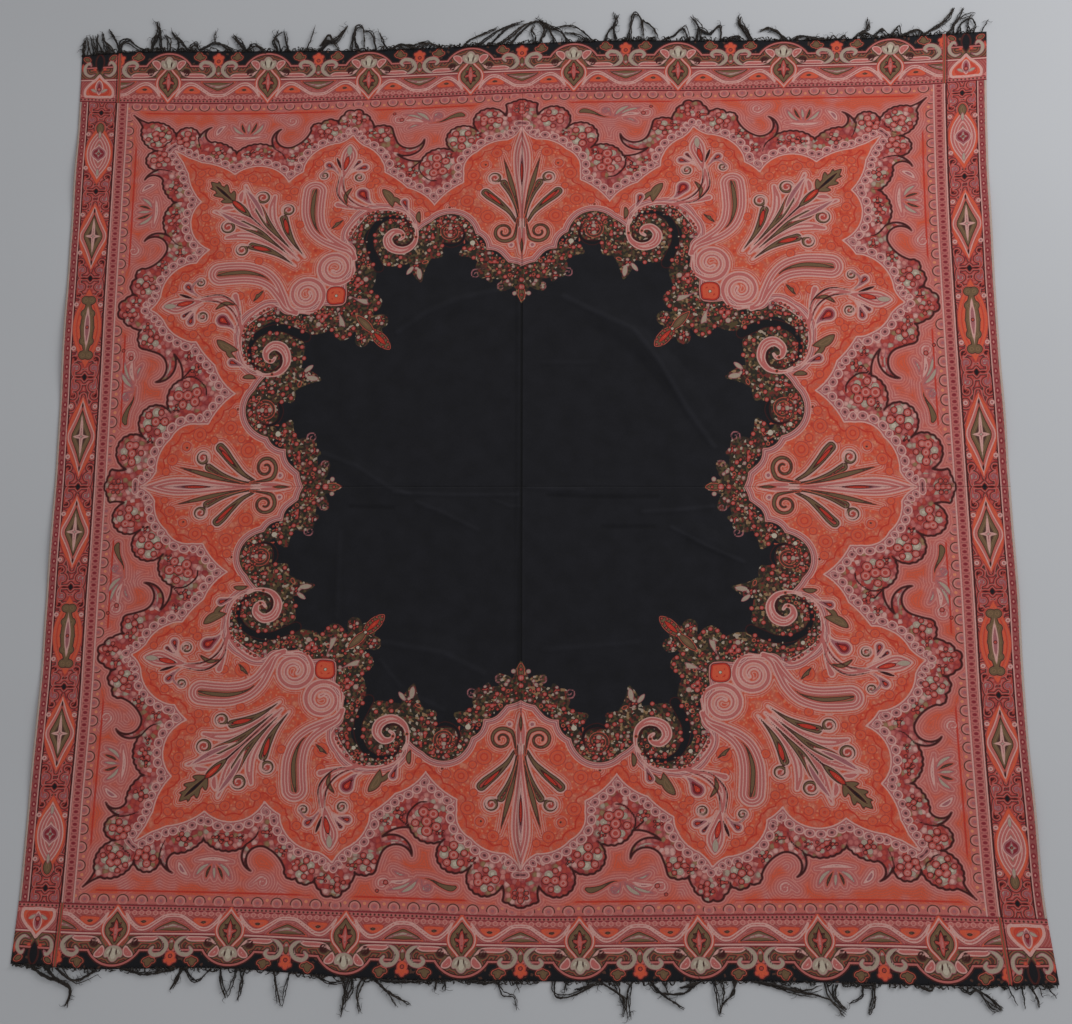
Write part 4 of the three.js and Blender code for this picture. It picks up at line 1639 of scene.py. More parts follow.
def closed_cloth(name: str, x: np.ndarray, y: np.ndarray, top: np.ndarray, under: np.ndarray,
                 layers: dict[str, np.ndarray], stride: int) -> bpy.types.Object:
    """Thin closed shell: a fine outer face, a rim, and an underside on a coarser grid.

    Args:
        name: name of the piece.
        x: places across of the grid, rising along each row.
        y: places along, rising from row to row.
        top: heights of the outer face.
        under: heights of the underside.
        layers: numbers that the surface carries, on the same grid.
        stride: steps of the fine grid in one step of the coarse one.

    Returns:
        The piece.
    """
    rows, columns = x.shape
    index = np.arange(rows * columns).reshape(rows, columns)
    faces = np.stack([index[:-1, :-1], index[:-1, 1:], index[1:, 1:], index[1:, :-1]], -1).reshape(-1, 4)
    fine_count = len(faces)
    marks_r = [*range(0, rows - 1, stride), rows - 1]
    marks_c = [*range(0, columns - 1, stride), columns - 1]
    kept = np.zeros((rows, columns), bool)
    kept[np.ix_(marks_r, marks_c)] = True
    kept[[0, -1], :] = True
    kept[:, [0, -1]] = True
    below = np.full((rows, columns), -1)
    below[kept] = rows * columns + np.arange(kept.sum())
    polygons = faces.tolist()
    for r0, r1 in zip(marks_r, marks_r[1:]):
        for c0, c1 in zip(marks_c, marks_c[1:]):
            up = range(r0, r1) if c0 == 0 else (r0,)
            over = range(c0, c1) if r1 == rows - 1 else (c0,)
            down = range(r1, r0, -1) if c1 == columns - 1 else (r1,)
            back = range(c1, c0, -1) if r0 == 0 else (c1,)
            ring = [below[r, c0] for r in up] + [below[r1, c] for c in over]
            ring += [below[r, c1] for r in down] + [below[r0, c] for c in back]
            polygons.append([int(i) for i in ring])
    rim = [(0, c) for c in range(columns - 1)] + [(r, columns - 1) for r in range(rows - 1)]
    rim += [(rows - 1, c) for c in range(columns - 1, 0, -1)] + [(r, 0) for r in range(rows - 1, 0, -1)]
    for here, there in zip(rim, rim[1:] + rim[:1]):
        polygons.append([int(below[here]), int(below[there]), int(index[there]), int(index[here])])
    low = under.copy()
    for step in range(1, stride + 1):
        low[step:] = np.minimum(low[step:], under[:-step])
        low[:-step] = np.minimum(low[:-step], under[step:])
    lowest = low.copy()
    for step in range(1, stride + 1):
        lowest[:, step:] = np.minimum(lowest[:, step:], low[:, :-step])
        lowest[:, :-step] = np.minimum(lowest[:, :-step], low[:, step:])
    outer = np.stack([x, y, top], -1).reshape(-1, 3)
    inner = np.stack([x[kept], y[kept], lowest[kept]], -1)
    mesh = bpy.data.meshes.new(name)
    mesh.from_pydata((np.vstack([outer, inner]) * MM).tolist(), [], polygons)
    for layer, values in layers.items():
        whole = np.concatenate([values.ravel(), values[kept]]).astype(np.float32)
        mesh.attributes.new(layer, "FLOAT", "POINT").data.foreach_set("value", whole)
    is_fine = np.arange(len(polygons)) < fine_count
    mesh.polygons.foreach_set("use_smooth", is_fine)
    mesh.polygons.foreach_set("material_index", np.where(is_fine, 0, 1).astype(np.int32))
    add_bake_map(mesh, index, kept, is_fine)
    mesh.update()
    mesh.validate()
    piece = bpy.data.objects.new(name, mesh)
    bpy.context.scene.collection.objects.link(piece)
    return piece


BAKE_MARGIN = 0.002
BAKE_WIDTH = 0.996
BAKE_OUTER = 0.928
BAKE_UNDER_FROM = 0.945
BAKE_UNDER = 0.05


def add_bake_map(mesh: bpy.types.Mesh, index: np.ndarray, kept: np.ndarray, is_fine: np.ndarray) -> None:
    """Flat map of a cloth shell: the outer face on most of it, the underside on a strip above.

    Args:
        mesh: the shell.
        index: grid of the outer face's vertex numbers.
        kept: which grid points the underside uses.
        is_fine: which faces are the outer face's.
    """
    rows, columns = index.shape
    share_r, share_c = np.indices((rows, columns)) / np.array([rows - 1, columns - 1])[:, None, None]
    across = np.concatenate([share_c.ravel(), share_c[kept]])
    along = np.concatenate([share_r.ravel(), share_r[kept]])
    loop_vertex = np.empty(len(mesh.loops), np.int32)
    mesh.loops.foreach_get("vertex_index", loop_vertex)
    sizes = np.empty(len(mesh.polygons), np.int32)
    mesh.polygons.foreach_get("loop_total", sizes)
    fine_loop = np.repeat(is_fine, sizes)
    u = BAKE_MARGIN + BAKE_WIDTH * across[loop_vertex]
    outer = BAKE_MARGIN + BAKE_OUTER * along[loop_vertex]
    v = np.where(fine_loop, outer, BAKE_UNDER_FROM + BAKE_UNDER * along[loop_vertex])
    uv = mesh.uv_layers.new(name="OFBake")
    uv.data.foreach_set("uv", np.column_stack([u, v]).ravel().astype(np.float32))


@dataclass
class FieldCloth:
    """The woven field with its side borders, made in four quarters that meet at the creases."""

    plan: ClothPlan
    half_across: float = 786.0
    half_along: float = 713.0
    columns: int = 314
    rows: int = 285
    stride: int = 8
    far_shift: float = 33.0
    far_period: float = 750.0
    flat: Point = (0.815, 0.712)
    finish: FieldFinish = field(default_factory=FieldFinish)

    def chart(self) -> Chart:
        """Draw the quarter chart.

        Returns:
            The chart with all its layers.
        """
        chart = Chart(np.linspace(0, self.half_across, self.columns + 1),
                      np.linspace(0, self.half_along, self.rows + 1))
        for name, shape in (("cloud", CLOUD), ("lace", LACE), ("jewel", JEWEL)):
            chart.outline(name, shape)
        chart.draw(CENTRE_FIGURES, Fold4.CENTRE)
        chart.draw(side_figures(), Fold4.SIDE)
        self.jewel_band(chart)
        chart.echo()
        shape = (self.rows + 1, self.columns + 1)
        chart.layers["across"] = np.broadcast_to(chart.across, shape)
        chart.layers["along"] = np.broadcast_to(chart.along[:, None], shape)
        return chart

    def jewel_band(self, chart: Chart) -> None:
        """Berries and pearls along the jewelled edge, and how far its dark ground reaches."""
        chart.layers["dusk"] = np.full(chart.layers["cloud"].shape, -chart.REACH)
        for points in DUSK:
            chart.stamp("dusk", smooth_path(points), Fold4.CENTRE)
        lines = ((5, 9, 0.5), (13, 9, 0.1), (21, 10, 0.6))
        cycle = (BERRY, PEARL, BERRY, LEAF, BERRY, SAGE)
        for line, (offset, pitch, phase) in enumerate(lines):
            for k, (b, a) in enumerate(JEWEL.beads(offset, pitch, phase)):
                if a - b < 4:
                    continue
                style = cycle[(k * 5 + line * 2) % len(cycle)]
                size = 2.2 if style is PEARL else 3.2
                chart.draw([Bead(style, (b, a), size)], Fold4.CENTRE)

    def pattern_to_cloth(self, along: np.ndarray) -> np.ndarray:
        """Lengthwise place on the far half, whose pattern is woven a little further out."""
        return along + self.far_shift * np.sin(np.pi * along / self.far_period)

    def build(self, reverse: bpy.types.Material) -> list[bpy.types.Object]:
        """Make the four quarters.

        Args:
            reverse: material of the underside.

        Returns:
            The pieces.
        """
        chart = self.chart()
        material = self.finish.material()
        pieces = []
        for side_name, side in (("left", -1), ("right", 1)):
            for end_name, end in (("near", -1), ("far", 1)):
                columns, rows = slice(None, None, side), slice(None, None, end)
                layers = {name: values[rows, columns] for name, values in chart.layers.items()}
                cloth = self.pattern_to_cloth(layers["along"]) if end > 0 else layers["along"]
                limit = self.pattern_to_cloth(np.array(self.half_along)) if end > 0 else self.half_along
                share = end * cloth / limit
                x, y = self.plan.floor_point(side * layers["across"] / self.half_across,
                                             self.plan.field_height(share))
                under = self.plan.rise(x, y)
                top = under + self.plan.WALL + self.plan.relief(x, y)
                # Heights of the fine creases, which the material paints as shade in troughs and highlight on
                # ridges.
                layers["press"] = self.plan.pressed(x, y)
                piece = closed_cloth(f"field_{end_name}_{side_name}", x, y, top, under, layers, self.stride)
                piece.data.materials.append(material)
                piece.data.materials.append(reverse)
                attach(piece, BODY)
                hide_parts("field")
                pieces.append(piece)
        return pieces


@dataclass
class EndBorder:
    """One of the two borders sewn to the ends of the field."""

    plan: ClothPlan
    end: int
    name: str
    half_across: float = 786.0
    depth: float = 98.0
    columns: int = 604
    rows: int = 38
    stride: int = 6
    repeat: float = 179.0
    corner: float = 719.0
    flat: Point = (1.65, 0.098)
    square_middle: float = 752.0
    dome_margin: float = 1.6
    finish: BorderFinish = field(default_factory=BorderFinish)

    def figures(self) -> list[Figure]:
        """Figures to one side of a medallion, from its middle to the middle of the valley."""
        return [
            Horn(HORN, ((15, 14, 2), (24, 27, 2.8), (36, 36, 3.2), (48, 35, 3.2), (62, 26, 3),
                              (76, 17, 2.8), (89.5, 15, 2.8))),
            Leaf(GLOW, (25, 20), (60, 21), 7, 0.14),
            Leaf(LEAF, (36, 24), (48, 25), 3, 0.1),
            Horn(LEAF, ((58, 41, 1), (70, 36, 4.4), (89.5, 32, 9))),
            Horn(SAGE, ((64, 39, 1), (76, 34, 1.8), (89.5, 31, 2.6))),
            Horn(HORN, ((20, 60, 1), (30, 53, 3), (44, 52, 4), (60, 52, 4), (68, 49, 2))),
            Leaf(GLOW, (26, 53), (66, 51), 3.4, 0.04),
            Curl(INK, (24, 50), (31, 58), 6.5, 1.7, 1.4),
            Horn(SAGE, ((66, 48, 1.6), (76, 53, 3.8), (81, 63, 4.8), (75, 74, 4.4), (64, 77, 3.8),
                              (57, 71, 3.4), (61, 65, 2.6))),
            Horn(INK, ((70, 52, 0.8), (78, 62, 1.2), (73, 72, 1.0), (63, 73, 0.7))),
            Bead(GLOW, (89.5, 79), 8.5), Leaf(GLOW, (89.5, 80), (89.5, 93), 5),
            Bead(GLOW, (83, 86), 4), Leaf(LEAF, (89.5, 50), (89.5, 72), 5),
            Bead(BERRY, (89.5, 79), 3.6), Bead(SAGE, (89.5, 56), 3),
            Leaf(LEAF, (57, 79), (54, 95), 6.4), Leaf(LEAF, (56, 82), (46, 88), 4),
            Leaf(LEAF, (58, 82), (66, 88), 4),
            Leaf(SAGE, (0, 62), (0, 86), 9), Leaf(SAGE, (2, 62), (13, 80), 6),
            Leaf(INK, (3, 64), (6, 80), 1.2), Leaf(HORN, (18, 62), (30, 78), 6, 0.2),
            Lozenge(GLOW, (0, 36), 24, 43, 1.15), Lozenge(HORN, (0, 37), 21.5, 38, 1.15),
            Lozenge(LEAF, (0, 38), 18.5, 33, 1.15), Leaf(BERRY, (0, 18), (0, 60), 4.5),
            Leaf(BERRY, (-2, 42), (12, 36), 3),
            Bead(PEARL, (0, 46), 1.6), Bead(BERRY, (7, 47), 2.4), Bead(BERRY, (7, 29), 2.2),
        ]

    def corner_figures(self) -> list[Figure]:
        """Figures of the corner square, to one side of its middle."""
        return [
            Horn(GLOW, ((0, 16, 7), (12, 16, 9), (16, 24, 9), (8, 36, 8), (0, 44, 6))),
            Horn(HORN, ((0, 10, 2.4), (14, 11, 2.4), (24, 12, 2.4), (25, 24, 2.4), (17, 36, 2.4),
                              (8, 44, 2.4), (0, 54, 2.4))),
            Leaf(DROP, (0, 14), (0, 44), 7), Leaf(SAGE, (3, 18), (16, 26), 3, 0.1),
            Bead(BERRY, (0, 26), 4.4),
            Horn(SAGE, ((9, 56, 1.6), (18, 53, 3), (26, 60, 3.4), (27, 72, 3.6), (20, 80, 3), (16, 74, 2))),
            Leaf(LEAF, (30, 92), (18, 84), 5), Leaf(GLOW, (31, 80), (30, 62), 3),
            Leaf(INK, (0, 60), (0, 96), 7), Bead(GLOW, (9, 66), 3.4),
        ]

    def chart(self) -> Chart:
        """Draw the border's chart, seam at 0 and hem at its depth.

        Returns:
            The chart with all its layers.
        """
        chart = Chart(np.linspace(-self.half_across, self.half_across, self.columns + 1),
                      np.linspace(0, self.depth, self.rows + 1))
        shape = (self.rows + 1, self.columns + 1)
        chart.layers["dome"] = np.full(shape, -chart.REACH)
        middles = [(k + 0.5) * self.repeat for k in range(-4, 4)]
        for middle in middles:
            for side in (-1, 1):
                for figure in self.figures():
                    rows = figure.discs() * (side, 1, 1) + (middle, 0, 0)
                    chart.stamp(figure.style.value, rows, Fold4.ONCE)
                    if rows[:, 1].max() > 60:
                        chart.stamp("dome", rows + (0, 0, self.dome_margin), Fold4.ONCE)
            chart.stamp("dome", np.array([[middle, 46, 50]]), Fold4.ONCE)
        for side in (-1, 1):
            outer = np.abs(chart.across) > self.corner
            for style in Style:
                chart.layers[style.value][:, outer & (np.sign(chart.across) == side)] = -chart.REACH
            for flip in (-1, 1):
                for figure in self.corner_figures():
                    rows = figure.discs() * (flip, 1, 1) + (side * self.square_middle, 0, 0)
                    chart.stamp(figure.style.value, rows, Fold4.ONCE)
                    chart.stamp("dome", rows + (0, 0, self.dome_margin), Fold4.ONCE)
        chart.echo()
        chart.layers["across"] = np.broadcast_to(chart.across, shape)
        chart.layers["out"] = np.broadcast_to(chart.along[:, None], shape)
        return chart

    def build(self, chart: Chart, material: bpy.types.Material, reverse: bpy.types.Material,
              fringe: bpy.types.Object) -> bpy.types.Object:
        """Make the border.

        Args:
            chart: its pattern.
            material: its outer face's material.
            reverse: material of the underside.
            fringe: the fringe along its hem; not used.

        Returns:
            The piece.
        """
        rows = slice(None, None, self.end)
        layers = {name: values[rows] for name, values in chart.layers.items()}
        x, y = self.plan.floor_point(layers["across"] / self.half_across,
                                     self.plan.border_height(self.end, layers["out"] / self.depth))
        under = self.plan.rise(x, y)
        top = under + self.plan.WALL + self.plan.relief(x, y)
        # Heights of the fine creases, which the material paints as shade in troughs and highlight on ridges.
        layers["press"] = self.plan.pressed(x, y)
        piece = closed_cloth(self.name + "_cloth", x, y, top, under, layers, self.stride)
        piece.data.materials.append(material)
        piece.data.materials.append(reverse)
        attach(piece, BODY)
        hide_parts(self.name)
        return piece


@dataclass(frozen=True)
class Lock:
    """Strands that lie together: how many, and their way as marks along the hem and off it."""

    strands: int
    marks: tuple[Point, ...]


@dataclass(frozen=True)
class HemPart:
    """A stretch of fringe read off in marks of its own: each row has its strands and marks."""

    start: float
    along: float
    off: float
    locks: tuple[tuple[Union[int, Point], ...], ...]


TOP_HEM = (
    HemPart(-808, 0.363, 0.371, (
        (3, (60, 0), (60, 45), (65, 95)), (2, (85, 0), (80, 55), (70, 90)),
        (3, (110, 0), (105, 55), (90, 105)), (2, (130, 0), (120, 65), (115, 105)),
        (2, (155, 0), (130, 60), (122, 105)), (3, (185, 0), (160, 55), (150, 115)),
        (2, (210, 0), (180, 45), (140, 85)), (4, (240, 0), (215, 65), (180, 130)),
        (4, (235, 5), (245, 50), (280, 60), (310, 35), (355, 5)),
        (5, (395, 0), (405, 60), (425, 100), (412, 160)), (5, (440, 0), (435, 60), (425, 125)),
        (3, (480, 0), (480, 55), (455, 95)), (3, (520, 0), (525, 55), (490, 110)),
        (5, (580, 0), (550, 45), (500, 100)), (4, (580, 5), (610, 45), (640, 5)),
        (5, (640, 10), (700, 50), (770, 20), (800, 5)), (2, (712, 40), (708, 75), (710, 115)),
        (6, (860, 0), (830, 40), (790, 85)), (5, (860, 5), (900, 30), (960, 0)),
        (3, (1020, 0), (1000, 55), (1030, 110)), (2, (1035, 0), (1015, 60), (1000, 90)),
        (4, (1070, 0), (1055, 50), (1045, 108)), (2, (1155, 0), (1175, 55), (1188, 128)),
        (5, (1225, 5), (1260, 50), (1300, 55), (1355, 132)),
        (3, (1240, 30), (1265, 85), (1290, 50), (1320, 5)),
        (3, (1385, 0), (1395, 90), (1415, 130), (1440, 110), (1450, 0)),
        (3, (1420, 0), (1400, 60), (1400, 125)), (3, (1510, 0), (1480, 90), (1440, 105)),
    )),
    HemPart(-257, 0.38, 0.39, (
        (3, (40, 0), (20, 40), (0, 92)), (5, (60, 5), (100, 25), (160, 15), (230, 30), (290, 5)),
        (3, (400, 0), (430, 35), (500, 62), (560, 85)), (3, (460, 0), (510, 35), (570, 75), (640, 102)),
        (3, (520, 0), (560, 35), (620, 85), (680, 108)), (3, (560, 0), (620, 40), (680, 92), (740, 115)),
        (4, (620, 0), (660, 50), (720, 100), (770, 115)), (3, (730, 0), (740, 30), (720, 70), (740, 95)),
        (3, (760, 0), (785, 60), (770, 98), (740, 115)), (4, (830, 0), (800, 75), (760, 112)),
        (4, (900, 0), (860, 50), (810, 80), (780, 100)),
        (3, (1020, 0), (970, 40), (910, 75), (850, 72), (810, 60)), (3, (1000, 0), (940, 35), (880, 50)),
        (3, (1065, 0), (1080, 50), (1120, 90), (1110, 145)), (3, (1115, 0), (1115, 70), (1135, 125)),
        (3, (1185, 0), (1190, 85), (1205, 138), (1240, 108), (1250, 5)),
        (2, (1240, 105), (1290, 65), (1320, 5)), (3, (1350, 10), (1400, 30), (1440, 65), (1470, 5)),
        (3, (1500, 0), (1510, 55), (1560, 35)),
    )),
    HemPart(303, 0.357, 0.366, (
        (4, (40, 0), (45, 75), (10, 128)), (3, (60, 55), (100, 40), (150, 80), (155, 10)),
        (3, (180, 10), (230, 25), (270, 5)), (6, (310, 0), (280, 60), (245, 92), (255, 130)),
        (3, (290, 0), (265, 70), (250, 118)), (5, (480, 0), (440, 45), (390, 65), (350, 55)),
        (5, (520, 5), (560, 22), (640, 12), (700, 5)), (2, (705, 0), (722, 22), (740, 0)),
        (2, (755, 0), (772, 22), (790, 0)), (4, (870, 0), (860, 30), (895, 50), (895, 105)),
        (5, (830, 5), (860, 28), (900, 20), (930, 5)), (4, (920, 10), (960, 42), (1000, 10)),
        (2, (1015, 5), (1040, 50), (1055, 5)), (5, (1060, 5), (1110, 20), (1150, 30), (1180, 5)),
        (6, (1170, 5), (1240, 40), (1300, 85), (1335, 140)), (3, (1290, 0), (1350, 65), (1390, 130)),
        (2, (1320, 0), (1340, 60), (1400, 92), (1440, 92)),
        (2, (1360, 0), (1370, 60), (1420, 85), (1445, 50), (1430, 5)),
        (2, (1400, 0), (1405, 60), (1425, 95)), (1, (1470, 0), (1480, 45), (1510, 65)),
    )),
)

BOTTOM_HEM = (
    HemPart(-841.3, 1.612, 1.58, (
        (6, (48, 0), (62, 12), (75, 21), (72, 37)), (5, (60, 2), (80, 14), (100, 4)),
        (3, (30, 0), (50, 12), (70, 16)), (5, (125, 1), (150, 7), (178, 2)),
        (4, (185, 1), (180, 12), (175, 22)), (3, (188, 1), (200, 14), (215, 1)),
        (3, (222, 0), (226, 14), (231, 28)), (2, (240, 0), (236, 14), (232, 28)),
        (3, (246, 0), (243, 16), (241, 32)), (3, (276, 0), (280, 16), (283, 32)),
        (2, (292, 0), (288, 16), (284, 31)), (3, (318, 2), (335, 8), (358, 2)),
        (3, (352, 0), (348, 20), (345, 38)),
    )),
    HemPart(-293, 0.37, 0.36, (
        (2, (25, 0), (30, 60), (45, 85), (22, 145)), (2, (60, 0), (65, 60), (40, 100)),
        (3, (115, 0), (85, 70), (100, 145)), (3, (160, 8), (215, 50), (310, 110)),
        (2, (160, 8), (215, 60), (260, 125)), (4, (150, 4), (250, 15), (400, 10)),
        (2, (440, 0), (425, 40)), (2, (460, 0), (465, 50)), (3, (560, 2), (640, 14), (700, 4)),
        (2, (680, 10), (720, 55), (770, 70), (775, 115)), (1, (785, 0), (790, 50)),
        (3, (940, 4), (940, 60), (1000, 58), (1080, 30), (1120, 8)), (2, (990, 10), (985, 55)),
        (5, (1040, 40), (1080, 25), (1140, 10)), (3, (1140, 8), (1200, 40), (1240, 80), (1235, 155)),
        (2, (1200, 5), (1225, 60), (1245, 110)), (3, (1280, 5), (1260, 50), (1262, 110), (1265, 155)),
        (3, (1350, 8), (1400, 50), (1500, 120)), (2, (1420, 10), (1430, 55)),
        (4, (1550, 15), (1500, 55), (1400, 50), (1360, 20)),
    )),
    HemPart(255, 0.403, 0.39, (
        (5, (0, 30), (40, 20), (80, 5)), (3, (140, 0), (150, 60), (155, 135)),
        (3, (225, 0), (215, 50), (175, 90), (160, 135)), (2, (165, 0), (170, 50), (158, 100)),
        (5, (290, 5), (380, 20), (470, 45), (540, 55)), (3, (430, 25), (500, 40), (560, 20)),
        (2, (545, 55), (600, 80), (650, 140)), (3, (580, 5), (600, 60), (655, 120)),
        (3, (620, 10), (615, 60), (660, 110)), (2, (730, 10), (720, 60), (675, 85)),
        (3, (770, 0), (765, 70), (748, 130)), (3, (700, 5), (740, 15), (780, 5)),
        (3, (950, 5), (990, 25), (1010, 5)),
        (3, (1110, 10), (1150, 30), (1180, 20), (1230, 90), (1255, 100)),
        (5, (1170, 12), (1230, 50), (1280, 100)), (1, (1300, 5), (1330, 80)),
        (1, (1350, 5), (1360, 50), (1370, 95)), (2, (1390, 5), (1420, 60), (1425, 95)),
        (1, (1430, 5), (1445, 50)), (1, (1460, 5), (1490, 60)),
    )),
)


@dataclass
class Fringe:
    """Twisted yarn fringe along one hem: laid locks, loose hairs and a ragged edge of short yarn."""

    plan: ClothPlan
    end: int
    name: str
    parts: tuple[HemPart, ...]
    seed: int
    yarn: float = 1.4
    gather: float = 1.3
    jitter: float = 1.3
    sides: int = 5
    pitch: float = 3.2
    tufts: int = 420
    hairs: int = 2
    inset: float = 4.0
    floor_gap: float = 0.7

    def build(self) -> bpy.types.Object:
        """Make the fringe.

        Returns:
            The piece.
        """
        random = np.random.default_rng(self.seed)
        self.verts: list[np.ndarray] = []
        self.faces: list[list[int]] = []
        self.ply: list[np.ndarray] = []
        self.age: list[np.ndarray] = []
        self.count = 0
        for part in self.parts:
            for strands, *marks in part.locks:
                self.add_lock(part, Lock(strands, tuple(marks)), random)
        self.add_tufts(random)
        return self.piece()

    def laid(self, marks: np.ndarray) -> np.ndarray:
        """Places on the floor for distances along and off the hem."""
        y = self.plan.hem(self.end)(marks[:, 0]) + self.end * (marks[:, 1] - 2)
        return np.column_stack([marks[:, 0], y])

    def add_lock(self, part: HemPart, lock: Lock, random: np.random.Generator) -> None:
        """Add the strands and hairs of one lock.

        Args:
            part: the stretch that it belongs to.
            lock: the lock.
            random: source of its unevenness.
        """
        marks = np.array(lock.marks, float) * (part.along, part.off) + (part.start, 0)
        for _ in range(lock.strands):
            shift = random.normal(0, self.gather, (1, 2)) + random.normal(0, self.jitter, marks.shape)
            shift[0] = random.normal(0, self.gather * 2), 0
            flat = smooth_path(self.laid(marks + shift), self.pitch)
            path = self.waved(flat, random)
            self.add_yarn(path, self.yarn * random.uniform(0.7, 1.1), self.sides, random)
            for _ in range(self.hairs):
                at = random.integers(len(flat) // 3, len(flat))
                turn = random.uniform(0, math.tau)
                reach = random.uniform(5, 13)
                bend = random.uniform(-0.4, 0.4)
                tip = flat[at] + reach * np.array([math.cos(turn), math.sin(turn)])
                middle = (flat[at] + tip) / 2 + bend * np.array([flat[at][1] - tip[1], tip[0] - flat[at][0]])
                hair = smooth_path([flat[at], middle, tip], 2.4)
                self.add_yarn(self.waved(hair, random), self.yarn * 0.3, 3, random)

    def add_tufts(self, random: np.random.Generator) -> None:
        """Add the short curled yarn all along the hem."""
        corners = np.array([-self.plan.HALF_WIDTH, self.plan.HALF_WIDTH])
        hem = self.plan.hem(self.end)
        low = float(self.plan.left(hem(corners[:1]))[0]) + self.inset
        high = float(self.plan.right(hem(corners[1:]))[0]) - self.inset
        for place in random.uniform(low, high, self.tufts):
            reach = random.uniform(2, 8)
            lean = random.uniform(-14, 14)
            back = reach * random.uniform(0.2, 1.1)
            marks = np.array([(place, 0), (place + lean * 0.4, reach), (place + lean, back)])
            marks[:, 0] = np.clip(marks[:, 0], low, high)
            path = self.waved(smooth_path(self.laid(marks), self.pitch), random)
            self.add_yarn(path, self.yarn * 0.8, 4, random)

    def waved(self, flat: np.ndarray, random: np.random.Generator) -> np.ndarray:
        """Give a path on the floor its small waves and its height.

        Args:
            flat: the path.
            random: source of its unevenness.

        Returns:
            The path in space.
        """
        ahead = np.gradient(flat, axis=0)
        ahead /= np.maximum(np.hypot(*ahead.T), 1e-6)[:, None]
        run = np.concatenate([[0], np.cumsum(np.hypot(*np.diff(flat, axis=0).T))])
        wave = random.uniform(0.2, 0.8) * np.sin(run / random.uniform(1.6, 3.5) + random.uniform(0, math.tau))
        moved = flat + np.column_stack([-ahead[:, 1], ahead[:, 0]]) * wave[:, None]
        hump = np.sin(np.pi * np.linspace(0, 1, len(flat))) ** 2
        height = self.yarn + self.floor_gap + random.uniform(0, 3.5) * hump
        return np.column_stack([moved, height])

    def add_yarn(self, path: np.ndarray, thickness: float, sides: int, random: np.random.Generator) -> None:
        """Add the tube of one strand, ridged by the twist of its plies.

        Args:
            path: its middle line.
            thickness: its radius.
            sides: how many sides the tube has.
            random: source of its unevenness.
        """
        ahead = np.gradient(path, axis=0)
        ahead /= np.maximum(np.linalg.norm(ahead, axis=1), 1e-6)[:, None]
        side = np.cross(ahead, (0, 0, 1))
        side /= np.maximum(np.linalg.norm(side, axis=1), 1e-6)[:, None]
        up = np.cross(side, ahead)
        t = np.linspace(0, 1, len(path))
        radius = thickness * (1 - 0.6 * t**3)
        spokes = np.arange(sides) * math.tau / sides
        swell = 1 + 0.22 * np.cos(2 * spokes)
        angle = spokes[None, :] + (np.arange(len(path)) * 1.1 + random.uniform(0, math.tau))[:, None]
        reach = radius[:, None] * swell[None, :]
        rings = path[:, None, :] + reach[..., None] * (
            np.cos(angle)[..., None] * side[:, None, :] + np.sin(angle)[..., None] * up[:, None, :])
        self.verts.append(rings.reshape(-1, 3))
        self.ply.append(np.tile((swell - 0.78) / 0.44, len(path)))
        self.age.append(np.repeat(random.uniform(0, 0.5) + 0.4 * t, sides))
        for ring in range(len(path) - 1):
            for k in range(sides):
                a, b = self.count + ring * sides + k, self.count + ring * sides + (k + 1) % sides
                self.faces.append([a, b, b + sides, a + sides])
        last = self.count + (len(path) - 1) * sides
        self.faces.append([self.count + k for k in reversed(range(sides))])
        self.faces.append([last + k for k in range(sides)])
        self.count += len(path) * sides

    def piece(self) -> bpy.types.Object:
        """Join the strands into one piece.

        Returns:
            The piece.
        """
        mesh = bpy.data.meshes.new(self.name)
        mesh.from_pydata((np.vstack(self.verts) * MM).tolist(), [], self.faces)
        for layer, values in (("ply", self.ply), ("age", self.age)):
            whole = np.concatenate(values).astype(np.float32)
            mesh.attributes.new(layer, "FLOAT", "POINT").data.foreach_set("value", whole)
        mesh.polygons.foreach_set("use_smooth", np.ones(len(mesh.polygons), bool))
        mesh.update()
        piece = bpy.data.objects.new(self.name + "_yarn", mesh)
        bpy.context.scene.collection.objects.link(piece)
        piece.data.materials.append(YarnFinish().material())
        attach(piece, BODY)
        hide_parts(self.name)
        return piece


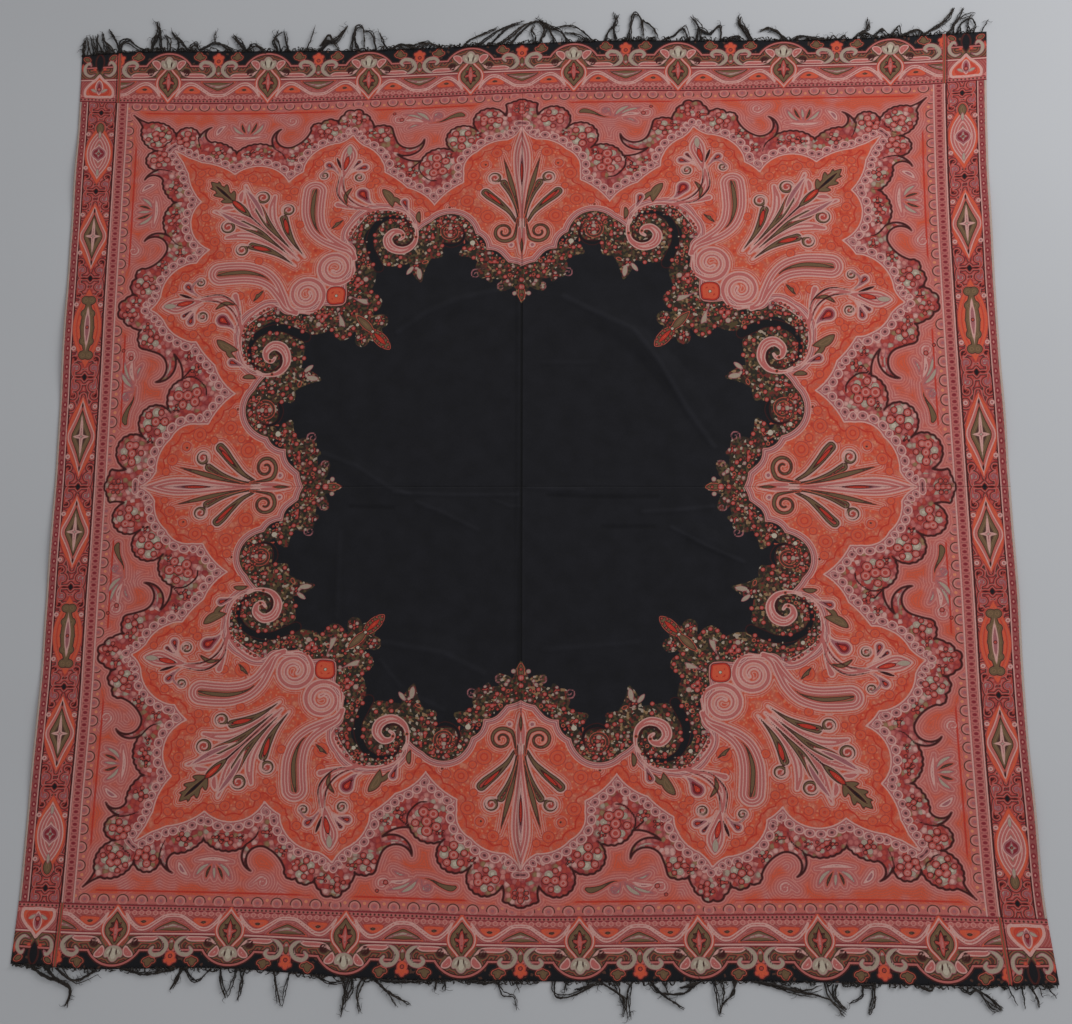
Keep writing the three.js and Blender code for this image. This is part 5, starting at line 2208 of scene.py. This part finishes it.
@dataclass
class Studio:
    """Floor, soft light and camera."""

    camera_at: tuple[float, float, float] = (0.025, -0.5009, 2.5024)
    camera_tilt: float = 10.37
    sensor: float = 36.0
    focal_pixels: float = 1500.0
    picture_width: float = 1072.0
    floor_size: float = 14.0
    floor_drop: float = 0.0004
    sky: float = 0.42
    key_power: float = 43.0
    key_size: float = 1.8
    key_at: tuple[float, float, float] = (2.1, 1.5, 1.9)

    def build(self) -> None:
        """Make the floor, the lights and the camera."""
        bpy.ops.object.select_all(action="DESELECT")
        bpy.ops.mesh.primitive_plane_add(size=self.floor_size, location=(0, 0, -self.floor_drop))
        floor = bpy.context.object
        floor.name = "floor"
        floor.data.materials.append(FloorFinish().material())
        world = bpy.data.worlds.new("studio_sky")
        world.use_nodes = True
        sky = world.node_tree.nodes["Background"]
        sky.inputs["Color"].default_value = (1.0, 1.0, 1.0, 1.0)
        sky.inputs["Strength"].default_value = self.sky
        scene = bpy.context.scene
        scene.world = world
        scene.view_settings.view_transform = "Standard"
        self.add_key()
        data = bpy.data.cameras.new("camera")
        data.sensor_width = self.sensor
        data.lens = self.sensor * self.focal_pixels / self.picture_width
        camera = bpy.data.objects.new("camera", data)
        camera.location = self.camera_at
        camera.rotation_euler = (math.radians(self.camera_tilt), 0, 0)
        scene.collection.objects.link(camera)
        scene.camera = camera

    def add_key(self) -> None:
        """Soft light from the far right, which brings the creases out."""
        data = bpy.data.lights.new("key", "AREA")
        data.energy = self.key_power
        data.size = self.key_size
        key = bpy.data.objects.new("key", data)
        key.location = self.key_at
        aim = np.array(self.key_at)
        key.rotation_euler = (math.acos(aim[2] / np.linalg.norm(aim)), 0, math.atan2(aim[0], -aim[1]))
        bpy.context.scene.collection.objects.link(key)


def main() -> None:
    """Make the studio and the shawl, and report each piece."""
    logging.basicConfig(level=logging.INFO, format="%(message)s")
    Studio().build()
    plan = ClothPlan()
    reverse = ReverseFinish().material()
    pieces = FieldCloth(plan).build(reverse)
    fringes = {
        1: Fringe(plan, 1, "fringe_top", TOP_HEM, 3).build(),
        -1: Fringe(plan, -1, "fringe_bottom", BOTTOM_HEM, 17).build(),
    }
    chart, material = None, BorderFinish().material()
    for end, name in ((1, "end_border_top"), (-1, "end_border_bottom")):
        border = EndBorder(plan, end, name)
        chart = chart or border.chart()
        pieces.append(border.build(chart, material, reverse, fringes[end]))
    for piece in [*pieces, *fringes.values()]:
        log.info("%s: %d faces", piece.name, len(piece.data.polygons))


if __name__ == "__main__":
    main()
